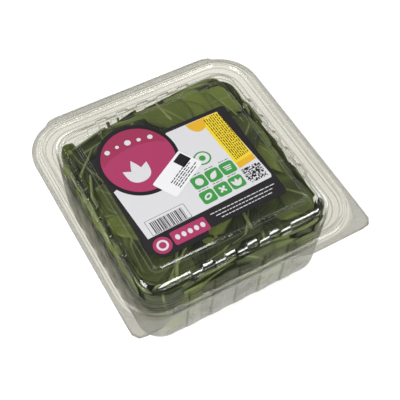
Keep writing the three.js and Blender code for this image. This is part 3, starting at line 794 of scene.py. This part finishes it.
def plate(x, y, width, height, corner=0.0, turn=0.0):
    # a rectangle with a quarter circle at each corner, or a plain point where the radius is zero
    spots = []
    for side, (signX, signY) in enumerate([(1, -1), (1, 1), (-1, 1), (-1, -1)]):
        t = np.radians(np.linspace(-90, 0, 5 if corner else 1)) + side * math.pi / 2
        middle = (signX * (width / 2 - corner), signY * (height / 2 - corner))
        spots.append(np.array(middle) + corner * np.stack([np.cos(t), np.sin(t)], -1))
    return placed(np.concatenate(spots), x, y, turn)


def leafShape(x, y, length, width, turn):
    # half width = w/2 sin(pi t^0.8), from base to tip and back
    t = np.linspace(0, 1, 15)
    half = width / 2 * np.sin(math.pi * t ** 0.8)
    there, back = np.stack([t * length, half], -1), np.stack([t * length, -half], -1)[::-1]
    return placed(np.concatenate([there, back[1:-1]])[::-1], x, y, turn)


def inkPiece(name, prints, base, step):
    # flat shapes, each on its own level just over the sheet, with their colours as an attribute
    points, faces, colours = [], [], []
    for outline, ink, level in prints:
        outline = np.asarray(outline, float)
        start = sum(len(p) for p in points)
        points.append(np.column_stack([outline, np.full(len(outline), base + step * level)]))
        faces.append(list(range(start, start + len(outline))))
        colours.append(np.tile([*inks[ink], 1.0], (len(outline), 1)))
    piece = makePiece(name, np.concatenate(points), faces, smooth=False)
    layer = piece.data.color_attributes.new("ink", "FLOAT_COLOR", "POINT")
    layer.data.foreach_set("color", np.concatenate(colours).ravel())
    return piece


def brokenRow(x, y, length, height, turn, ink, level):
    # short dashes of uneven length in one row
    prints, at = [], 0.0
    while at < length - 1:
        dash = min(chance.uniform(1.2, 4.2), length - at)
        spot = placed(np.array([[at + dash / 2, 0.0]]), x, y, turn)[0]
        prints.append((plate(*spot, dash, height, 0, turn), ink, level))
        at += dash + 0.7
    return prints


# places on the label, in millimetres from the middle of the pack
labelArt = {
    "field": [(-52.9, -36.9), (47.1, -32.7), (48.2, -30.4), (42.5, 36.8), (0.5, 36.8), (-20, 20), (-56, 8)],
    "lobe": (-28, 25), "lobeRim": (29.4, 31.4), "lobeFill": (26.6, 28.2), "crescent": (12, 22, 158),
    "tulip": (-33, 6.5, 8.4), "petals": ((58, 17), (92, 20), (126, 17)), "dots": (2.0, 1.4, 2.4, 1.6, 2.0),
    "dotRow": (-45, 8.4, 40.5, 1.6), "halfDisc": (24, 36.4, 7.6, 10), "firstSquare": (0.4, -12.4),
    "yellowStrip": [(27, 36.6), (28.3, 24), (31.4, -15.8), (46.2, -13.4), (43.1, 36.6)],
    "orangeFoot": [(31.2, -10.6), (31.5, -15.8), (46.2, -13.4), (45.9, -8.6)],
    "squares": (11.9, 13.6, 0.6), "cells": (16, 18), "cellShare": 0.55, "barFrame": (-33.6, -29.4),
    "bars": (-46.2, -21.2), "badge": (-46.5, -45.6), "dotPlate": (-24.9, -44.4, 27.2, 11.2),
    "badgeRings": ((6.6, "magenta"), (4.2, "white"), (2.6, "magenta")),
    "dashRows": (-39.6, -42.3, -45), "ring": (12.4, 4.6),
}


def lobePrints(art):
    # a dark ellipse, a smaller magenta one, a plum crescent along its top, a tulip and a row of dots
    x, y = art["lobe"]
    dip, start, end = art["crescent"]
    upper = ellipse(x, y, *art["lobeFill"], 0, 40, start, end)
    lower = ellipse(x, y, art["lobeFill"][0], dip, 0, 40, start, end)[::-1]
    prints = [(ellipse(x, y, *art["lobeRim"], 0, 90), "black", 2)]
    prints.append((ellipse(x, y, *art["lobeFill"], 0, 90), "magenta", 3))
    prints.append((np.concatenate([upper, lower]), "plum", 4))
    tulipX, tulipY, petalWidth = art["tulip"]
    for n, (turn, length) in enumerate(art["petals"]):
        prints.append((leafShape(tulipX, tulipY, length, petalWidth, turn), "white", 5 + 0.4 * n))
    startX, gap, middleY, wave = art["dotRow"]
    for n, size in enumerate(art["dots"]):
        x, y = startX + gap * n, middleY + wave * math.sin(n)
        prints.append((ellipse(x, y, size, size, 0, 20), "white", 5))
    return prints


def stripPrints(art):
    # the yellow strip with rows of dashes, its orange foot and half disc
    prints = [(art["yellowStrip"], "yellow", 2), (art["orangeFoot"], "orange", 3)]
    for n in range(8):
        prints += brokenRow(33.4 + 1.55 * n, -8 + 0.3 * n, 42.5, 0.72, 93.6 - 0.3 * n, "brown", 4)
    prints.append((ellipse(*art["halfDisc"], 0, 24, 180, 360), "orange", 3))
    return prints


def squarePrints(art):
    # two rows of three green squares, each with a white shape and a row of dashes over it
    prints = []
    startX, startY = art["firstSquare"]
    stepX, stepY, lean = art["squares"]
    for which in range(6):
        row, column = divmod(which, 3)
        x = startX + stepX * column - lean * row
        y = startY - stepY * row + lean * column
        prints.append((plate(x, y, 11, 10.6, 2.2, 2), "green", 3))
        prints += squareMotif(which, x, y)
        prints += brokenRow(x - 4, y + 6.7, 8, 0.5, 2, "black", 3)
    return prints


def cellPrints(art):
    # a block of small dark cells at random
    rows, columns = art["cells"]
    filled = chance.random((rows, columns)) < art["cellShare"]
    prints = []
    for i, j in zip(*np.nonzero(filled)):
        u, v = (j + 0.5) / columns, (i + 0.5) / rows
        prints.append((plate(31.2 + 14.9 * u, -30.6 + 13.2 * v + 0.6 * u, 0.84, 0.84, 0, 2), "black", 4))
    return prints


def barPrints(art):
    # a thin frame round upright bars of uneven width
    x, y = art["barFrame"]
    prints = [(plate(x, y, 30.8, 12.6, 0.8, 2), "black", 2), (plate(x, y, 30.2, 12, 0.6, 2), "white", 3)]
    at, end = art["bars"]
    while at < end:
        bar = chance.choice([0.3, 0.6, 0.9])
        prints.append((plate(at + bar / 2, -30.2 + (at + 33) * 0.035, bar, 9.8, 0, 2), "black", 4))
        at += bar + chance.choice([0.35, 0.6, 0.9])
    return prints


def footPrints(art):
    # a ringed badge, a plate with five dots and three rows of dashes
    prints = []
    for n, (radius, ink) in enumerate(art["badgeRings"]):
        prints.append((ellipse(*art["badge"], radius, radius, 0, 30 if n else 40), ink, 2 + n))
    x, y, width, height = art["dotPlate"]
    prints.append((plate(x, y, width, height, 1.6, 1.4), "magenta", 2))
    for n in range(5):
        prints.append((ellipse(-34.6 + 4.9 * n, -44.6 + 0.12 * n, 1.7, 2.1, 0, 24), "white", 3))
    for n, rowY in enumerate(art["dashRows"]):
        prints += brokenRow(-6.5 + 3 * n, rowY, 52 - 5 * n, 0.65, 1.2, "white", 2)
    return prints


def ringMotif(x, y):
    # a green ring round a green disc
    return [(ellipse(x, y, 6.6, 6, 0, 40), "green", 2), (ellipse(x, y, 5.3, 4.8, 0, 40), "white", 3),
            (ellipse(x, y, 2.4, 2.4, 0, 24), "green", 4)]


def squareMotif(which, x, y):
    # plain shapes: disc, leaf, bars, ring, cross, tulip
    if which == 0:
        return [(ellipse(x, y, 3.1, 3.1, 0, 24), "white", 4)]
    if which == 1:
        return [(leafShape(x - 3.2, y - 3, 8.6, 4.4, 44), "white", 4)]
    if which == 2:
        return [(plate(x, y + 1.6 - 1.6 * n, 6.4 - n, 0.9, 0.3), "white", 4) for n in range(3)]
    if which == 3:
        return [(ellipse(x, y, 3.4, 2.2, 30, 24), "white", 4), (ellipse(x, y, 1.8, 1, 30, 24), "green", 5)]
    if which == 4:
        return [(plate(x, y, 6.2, 1.6, 0.4, 45), "white", 4), (plate(x, y, 1.6, 6.2, 0.4, 45), "white", 4.5)]
    return [(leafShape(x, y - 3.4, 7, 3, angle), "white", 4 + angle / 150) for angle in (55, 90, 125)]


def labelPrints():
    # every printed shape, in the order in which they are drawn
    prints = [(labelArt["field"], "white", 1)]
    for part in (lobePrints, stripPrints, squarePrints, cellPrints, barPrints, footPrints):
        prints += part(labelArt)
    return prints + ringMotif(*labelArt["ring"])


labelSheet = sheetPiece("labelSheet", labelOutline(), labelForm["base"], labelForm["top"])
labelInk = inkPiece("labelInk", labelPrints(), labelForm["top"], labelForm["step"])

stickerForm = {"x": -9.5, "y": 1, "length": 35, "width": 20, "corner": 1.2, "turn": 30,
               "base": 76.15, "top": 76.29}


def onSticker(x, y):
    # a place given along and across the sticker, on the pack
    form = stickerForm
    return placed(np.array([[x, y]]), form["x"], form["y"], form["turn"])[0]


def stickerPrints():
    # a dark square and five rows of dashes
    turn = stickerForm["turn"]
    prints = [(plate(*onSticker(11.6, 3.4), 9.4, 9.2, 0.5, turn), "black", 1)]
    for n in range(5):
        x, y = onSticker(-9.5 + 0.6 * (n % 2), -0.4 - 1.8 * n)
        prints += brokenRow(x, y, 24 - 2.5 * (n % 3), 0.75, turn, "black", 1)
    return prints


stickerOutline = plate(*[stickerForm[key] for key in ("x", "y", "length", "width", "corner", "turn")])
stickerSheet = sheetPiece("stickerSheet", stickerOutline, stickerForm["base"], stickerForm["top"])
stickerInk = inkPiece("stickerInk", stickerPrints(), stickerForm["top"], labelForm["step"])
print("label printed:", len(labelInk.data.polygons), "shapes")


# materials

def put(tree, kind, inputs=None, **settings):
    # adds a node; a socket's value may be another node's output
    node = tree.nodes.new("ShaderNode" + kind)
    for key, value in settings.items():
        setattr(node, key, value)
    for key, value in (inputs or {}).items():
        if isinstance(value, bpy.types.NodeSocket):
            tree.links.new(value, node.inputs[key])
        else:
            node.inputs[key].default_value = value
    return node


def maths(tree, operation, *terms, hold=False):
    # one Math node over its terms, held between 0 and 1 if asked
    return put(tree, "Math", dict(enumerate(terms)), operation=operation, use_clamp=hold).outputs[0]


def ramp(tree, value, start, end, low=0.0, high=1.0):
    # low where the value is at the start, high where it is at the end, straight between and level beyond
    sockets = {"Value": value, "From Min": start, "From Max": end, "To Min": low, "To Max": high}
    return put(tree, "MapRange", sockets).outputs[0]


def mixColours(tree, share, first, second, blend="MIX"):
    # the first colour where the share is 0, the second where it is 1
    sockets = {0: share, 6: first, 7: second}
    return put(tree, "Mix", sockets, data_type="RGBA", blend_type=blend).outputs[2]


def readMark(tree, name, output="Fac"):
    # an attribute of the mesh
    return put(tree, "Attribute", attribute_name=name).outputs[output]


def newMaterial(name):
    # an empty material and its node tree
    material = bpy.data.materials.new(name)
    material.use_nodes = True
    material.node_tree.nodes.clear()
    return material, material.node_tree


def buildUnevenness():
    # two sizes of noise: a broad value for colour and gloss, a fine height for bump
    group = bpy.data.node_groups.new("unevenness", "ShaderNodeTree")
    for name, scale in (("Broad Scale", 40), ("Fine Scale", 400)):
        group.interface.new_socket(name, in_out="INPUT", socket_type="NodeSocketFloat").default_value = scale
    for name in ("Broad", "Height"):
        group.interface.new_socket(name, in_out="OUTPUT", socket_type="NodeSocketFloat")
    start = group.nodes.new("NodeGroupInput")
    end = group.nodes.new("NodeGroupOutput")
    place = put(group, "TexCoord").outputs["Object"]
    for k, detail in enumerate((3.0, 4.0)):
        noise = put(group, "TexNoise", {"Vector": place, "Scale": start.outputs[k], "Detail": detail})
        group.links.new(noise.outputs["Fac"], end.inputs[k])
    return group


unevenness = buildUnevenness()


def uneven(tree, broad, fine):
    # the noise group with its two scales, giving its broad value and its fine height
    node = put(tree, "Group", node_tree=unevenness)
    node.inputs[0].default_value = broad
    node.inputs[1].default_value = fine
    return node.outputs[0], node.outputs[1]


def surface(material, tree, shader):
    # ends a material with its shader
    put(tree, "OutputMaterial", {"Surface": shader})
    return material


def roughen(tree, look, height):
    # the way the surface faces, bent by a height of some strength and size in metres
    strength, size = look["bump"]
    return put(tree, "Bump", {"Strength": strength, "Distance": size, "Height": height}).outputs[0]


def opaque(material, tree, look, colour, gloss, **more):
    # ends a material with one surface of a colour and a roughness
    sockets = {"Base Color": colour, "Roughness": gloss, "Specular IOR Level": look["specular"]} | more
    return surface(material, tree, put(tree, "BsdfPrincipled", sockets).outputs[0])


# colours seen straight on and at an edge, strength of the painted shade at marked bends, gloss, haze at a
# grazing angle, a milky veil and its height, how milky the flange and the pale bends are, the pale bends as a
# painted highlight, how milky the foot is and how dark as painted shade, and where each of these begins and
# ends
trayLook = {"tint": (0.910, 0.906, 0.880, 1), "edge": (0.34, 0.34, 0.29, 1), "creaseShade": 0.36, "ior": 1.55,
            "shine": 0.25, "flange": 0.32, "foot": 0.42, "gloss": (0.03, 0.09), "haze": (0.006, 0.07),
            "milkyVeil": 0.40, "milkyVeilTop": (0.034, 0.052), "footShadeTop": (0.003, 0.013),
            "hazeColour": (0.52, 0.515, 0.47, 1), "noise": (55.0, 320.0), "bump": (0.015, 0.0004),
            "edgeRange": (0.70, 0.99), "shineRange": (1.0, 1.7), "rimShine": 0.05,
            "hazeRange": (0.4, 0.95), "patches": (0.3, 0.6, 0.65, 1.0), "milkRoughness": 0.5}
lidLook = trayLook | {"creaseShade": 0.38, "ior": 1.60, "shine": 1.0, "foot": 0.0, "gloss": (0.02, 0.06),
                      "haze": (0.004, 0.08), "milkyVeil": 0.0, "hazeColour": (0.46, 0.458, 0.43, 1)}


def filmMaterial(name, look):
    # clear where seen straight on, darker and milkier at a grazing angle, mirror gloss by Fresnel on outer
    # faces; painted shade darkens marked bends, rib flanks, the rim and the foot and takes the gloss off
    # flanks and rim, and pale bends turn milky as a painted highlight; a milky veil grows below a height,
    # thinner in patches
    material, tree = newMaterial(name)
    broad, fine = uneven(tree, *look["noise"])
    bump = roughen(tree, look, fine)
    front = maths(tree, "SUBTRACT", 1.0, put(tree, "NewGeometry").outputs["Backfacing"])
    facing = put(tree, "LayerWeight", {"Blend": 0.5}).outputs["Facing"]
    height = put(tree, "SeparateXYZ", {0: put(tree, "TexCoord").outputs["Object"]}).outputs[2]
    creaseShade = readMark(tree, "creaseShade")

    # painted shade: the clear tint darkens towards the edge colour at marked bends, rib flanks, the flange
    # and the rim; it also darkens at grazing angles
    bent = maths(tree, "MULTIPLY", creaseShade, look["creaseShade"])
    lines = maths(tree, "MAXIMUM", ramp(tree, facing, *look["edgeRange"]), bent, hold=True)
    # painted shade: below the foot's height the tray's clear tint turns darker and milkier
    foot = ramp(tree, height, *look["footShadeTop"], look["foot"], 0.0)
    dark = maths(tree, "MAXIMUM", lines, foot)
    clear = put(tree, "BsdfTransparent", {"Color": mixColours(tree, dark, look["tint"], look["edge"])})

    fresnel = put(tree, "Fresnel", {"IOR": look["ior"], "Normal": bump}).outputs[0]
    # painted shade: the mirror gloss fades out where the crease mark is high, on the rib flanks and the rim
    shine = ramp(tree, creaseShade, *look["shineRange"], look["shine"], look["rimShine"])
    mirrorShare = maths(tree, "MULTIPLY", maths(tree, "MULTIPLY", fresnel, front), shine)
    gloss = ramp(tree, broad, 0.3, 0.7, *look["gloss"])
    mirror = put(tree, "BsdfPrincipled", {"Base Color": (1, 1, 1, 1), "Metallic": 1.0, "Roughness": gloss,
                                          "Normal": bump})
    coated = put(tree, "MixShader", {0: mirrorShare, 1: clear.outputs[0], 2: mirror.outputs[0]})

    haze = ramp(tree, facing, *look["hazeRange"], *look["haze"])
    # a milky veil below a height, thinner in patches
    low = ramp(tree, height, *look["milkyVeilTop"], look["milkyVeil"], 0.0)
    milkyVeil = maths(tree, "MULTIPLY", low, ramp(tree, broad, *look["patches"]))
    # the flange and the pale bends turn milky; on the pale bends this is a painted highlight
    pale = maths(tree, "MULTIPLY", readMark(tree, "milkAndHighlight"), look["flange"])
    milkAndHighlight = maths(tree, "MAXIMUM", maths(tree, "MAXIMUM", haze, pale), maths(tree, "MAXIMUM", foot, milkyVeil))
    milky = put(tree, "BsdfPrincipled", {"Base Color": look["hazeColour"],
                                         "Roughness": look["milkRoughness"]})
    hazeShare = maths(tree, "MULTIPLY", milkAndHighlight, front)
    whole = put(tree, "MixShader", {0: hazeShare, 1: coated.outputs[0], 2: milky.outputs[0]})
    return surface(material, tree, whole.outputs[0])


leafLook = {"deep": (0.014, 0.023, 0.004, 1), "mid": (0.086, 0.118, 0.024, 1),
            "bright": (0.27, 0.36, 0.065, 1), "vein": (0.27, 0.33, 0.12, 1),
            "roughness": (0.30, 0.46), "specular": 0.32,
            "midrib": 0.045, "sideVeins": 7.0, "veinLean": -1.1, "sideVein": (0.0, 0.055, 0.3, 0.0),
            "noise": (60.0, 900.0), "patches": (0.32, 0.68, 0.0, 0.75), "tones": (0.45, 1.0, 0.0, 0.7),
            "veinDip": -0.8, "bump": (0.35, 0.0004)}


def leafMaterial(look):
    # a pale midrib, side veins that run forward to the edge, patches and a tone for each leaf, the tone
    # partly painted light
    material, tree = newMaterial("leafSkin")
    broad, fine = uneven(tree, *look["noise"])
    uv = put(tree, "SeparateXYZ", {0: put(tree, "UVMap", uv_map="leaf").outputs[0]})
    away = maths(tree, "ABSOLUTE", maths(tree, "SUBTRACT", uv.outputs[1], 0.5))
    midrib = ramp(tree, away, 0.0, look["midrib"], 1.0, 0.0)
    lean = maths(tree, "MULTIPLY_ADD", away, look["veinLean"], uv.outputs[0])
    cell = maths(tree, "PINGPONG", maths(tree, "MULTIPLY", lean, look["sideVeins"]), 0.5)
    veins = maths(tree, "MAXIMUM", midrib, ramp(tree, cell, *look["sideVein"]))
    skin = mixColours(tree, ramp(tree, broad, *look["patches"]), look["deep"], look["mid"])
    skin = mixColours(tree, ramp(tree, readMark(tree, "toneAndLight"), *look["tones"]), skin, look["bright"])
    skin = mixColours(tree, veins, skin, look["vein"])
    height = maths(tree, "MULTIPLY_ADD", veins, look["veinDip"], fine)
    gloss = ramp(tree, broad, 0.0, 1.0, *look["roughness"])
    return opaque(material, tree, look, skin, gloss, Normal=roughen(tree, look, height))


def plainMaterial(name, look):
    # two close colours in broad patches, with uneven gloss and a fine bump
    material, tree = newMaterial(name)
    broad, fine = uneven(tree, *look["scales"])
    colour = mixColours(tree, ramp(tree, broad, 0.3, 0.7), *look["colours"])
    gloss = ramp(tree, broad, 0.0, 1.0, *look["roughness"])
    return opaque(material, tree, look, colour, gloss, Normal=roughen(tree, look, fine))


inkLook = {"noise": (90.0, 2600.0), "fade": (0.0, 0.12), "shade": (0.9, 0.9, 0.9, 1),
           "roughness": (0.34, 0.5), "specular": 0.3}


def inkMaterial(look):
    # the colour of each printed shape, a little uneven, under a satin varnish
    material, tree = newMaterial("labelInk")
    broad, fine = uneven(tree, *look["noise"])
    share = ramp(tree, broad, 0.0, 1.0, *look["fade"])
    colour = mixColours(tree, share, readMark(tree, "ink", "Color"), look["shade"], "MULTIPLY")
    gloss = ramp(tree, fine, 0.0, 1.0, *look["roughness"])
    return opaque(material, tree, look, colour, gloss)


plainLooks = {
    "stemSkin": {"colours": ((0.17, 0.22, 0.065, 1), (0.31, 0.36, 0.14, 1)), "roughness": (0.35, 0.5),
                 "scales": (90.0, 1200.0), "bump": (0.25, 0.0003), "specular": 0.5},
    # painted shade: the very dark colours of the block inside the heap
    "coreShade": {"colours": ((0.030, 0.045, 0.016, 1), (0.060, 0.085, 0.030, 1)), "roughness": (0.5, 0.7),
                   "scales": (120.0, 500.0), "bump": (0.5, 0.0003), "specular": 0.5},
    "labelBlack": {"colours": ((0.012, 0.010, 0.012, 1), (0.018, 0.015, 0.017, 1)), "roughness": (0.42, 0.55),
                   "scales": (80.0, 2200.0), "bump": (0.05, 0.0003), "specular": 0.3},
    "stickerPaper": {"colours": ((0.80, 0.80, 0.81, 1), (0.84, 0.84, 0.85, 1)), "roughness": (0.4, 0.55),
                     "scales": (90.0, 2400.0), "bump": (0.06, 0.0003), "specular": 0.5},
    "paleFloor": {"colours": ((0.93, 0.93, 0.93, 1), (0.95, 0.95, 0.95, 1)), "roughness": (0.7, 0.8),
                  "scales": (3.0, 60.0), "bump": (0.02, 0.0003), "specular": 0.2},
}

trayFilmLook = filmMaterial("trayFilmClear", trayLook)
lidFilmLook = filmMaterial("lidFilmClear", lidLook)
leafSkin = leafMaterial(leafLook)
inkSkin = inkMaterial(inkLook)
stemSkin, coreShadeSkin, labelBlack, stickerPaper, paleFloor = [
    plainMaterial(name, look) for name, look in plainLooks.items()
]

for piece, material, body, slot in (
    (trayFilm, trayFilmLook, "tray", "tray_film"), (lidFilm, lidFilmLook, "lid", "lid_film"),
    (leafBlades, leafSkin, "tray", "leaves"), (leafSides, leafSkin, "tray", "leaves"),
    (leafStems, stemSkin, "tray", "leaves"), (leafCoreShade, coreShadeSkin, "tray", "leaves"),
    (labelSheet, labelBlack, "lid", "label_print"), (labelInk, inkSkin, "lid", "label_print"),
    (stickerSheet, stickerPaper, "lid", "sticker_paper"), (stickerInk, inkSkin, "lid", "sticker_paper"),
):
    piece.data.materials.append(material)
    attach(piece, body)
# the label's underside is bare paper
labelSheet.data.materials.append(stickerPaper)
labelSheet.data.polygons[len(labelSheet.data.polygons) - 2].material_index = 1
hingeWeb.data.materials.append(lidFilmLook)
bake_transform(hingeWeb)
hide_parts("tray")
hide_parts("lid")
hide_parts("spinach")
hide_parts("label")
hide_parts("sticker")
print("materials set")

# floor, light and camera

studio = {
    "floorHalf": 4, "floorDrop": 0.0004, "floorGlow": 0.30, "world": 0.24,
    "lamps": [  # name, place, size, watts, aim
        ("lowStrip", (0.32, -1.0, 0.385), (1.3, 0.12), 8.5, (0, 0, 0.07)),
        ("highStrip", (0.32, -0.80, 0.72), (1.3, 0.06), 2.2, (0, 0, 0.07)),
        ("cornerBox", (-1.11, -0.12, 0.42), (0.8, 0.25), 7.5, (0, 0, 0.07)),
        ("overhead", (-0.72, -0.25, 1.05), (0.9, 0.9), 3, (0, 0, 0.05)),
        ("backLight", (-0.35, 1.1, 0.8), (1.2, 0.5), 8, (0, 0, 0.05)),
        ("rightBox", (1.05, 0.2, 0.8), (0.6, 0.6), 3.5, (0, 0, 0.05)),
    ],
}


def standAt(piece, turn, place):
    # links an object with the three columns of its turn and its place
    rows = [[*row, place[k]] for k, row in enumerate(turn)]
    scene.collection.objects.link(piece)
    piece.matrix_world = Matrix(rows + [[0, 0, 0, 1]])


def areaLamp(name, place, size, watts, aim):
    # a rectangle of light whose back points away from its aim
    lamp = bpy.data.lights.new(name, "AREA")
    lamp.shape = "RECTANGLE"
    lamp.size, lamp.size_y = size
    lamp.energy = watts
    back = unit(np.array(place) - np.array(aim))
    right = unit(np.cross([0, 0, 1], back))
    standAt(bpy.data.objects.new(name, lamp), np.stack([right, np.cross(back, right), back], 1), place)


def layFloor(half, drop):
    # one square just under the pack
    mesh = bpy.data.meshes.new("floor")
    corners = [(-half, -half, -drop), (half, -half, -drop), (half, half, -drop), (-half, half, -drop)]
    mesh.from_pydata(corners, [], [(0, 1, 2, 3)])
    mesh.materials.append(paleFloor)
    piece = bpy.data.objects.new("floor", mesh)
    scene.collection.objects.link(piece)


for lamp in studio["lamps"]:
    areaLamp(*lamp)
floorShader = next(node for node in paleFloor.node_tree.nodes if node.type == "BSDF_PRINCIPLED")
floorShader.inputs["Emission Color"].default_value = (1, 1, 1, 1)
floorShader.inputs["Emission Strength"].default_value = studio["floorGlow"]
layFloor(studio["floorHalf"], studio["floorDrop"])
world = bpy.data.worlds.new("studio")
world.use_nodes = True
world.node_tree.nodes["Background"].inputs["Color"].default_value = (1, 1, 1, 1)
world.node_tree.nodes["Background"].inputs["Strength"].default_value = studio["world"]
scene.world = world
scene.view_settings.view_transform = "Standard"

view = {"lens": 77.95, "azimuth": -32.09, "elevation": 56.03, "roll": 3.03, "distance": 605.4,
        "target": (-5.2, -21.5, 67.4), "shift": (0.0037, 0.0038)}


def placeCamera():
    # back = (sin az cos el, -cos az cos el, sin el), right and up turned about it by the roll
    az, el, roll = [math.radians(view[key]) for key in ("azimuth", "elevation", "roll")]
    back = np.array([math.sin(az) * math.cos(el), -math.cos(az) * math.cos(el), math.sin(el)])
    right = np.array([math.cos(az), math.sin(az), 0.0])
    up = np.cross(back, right)
    rolledRight = math.cos(roll) * right + math.sin(roll) * up
    rolledUp = math.cos(roll) * up - math.sin(roll) * right
    camera = bpy.data.cameras.new("camera")
    camera.lens = view["lens"]
    camera.shift_x, camera.shift_y = view["shift"]
    piece = bpy.data.objects.new("camera", camera)
    place = (np.array(view["target"]) + back * view["distance"]) * millimetre
    standAt(piece, np.stack([rolledRight, rolledUp, back], 1), place)
    scene.camera = piece


placeCamera()
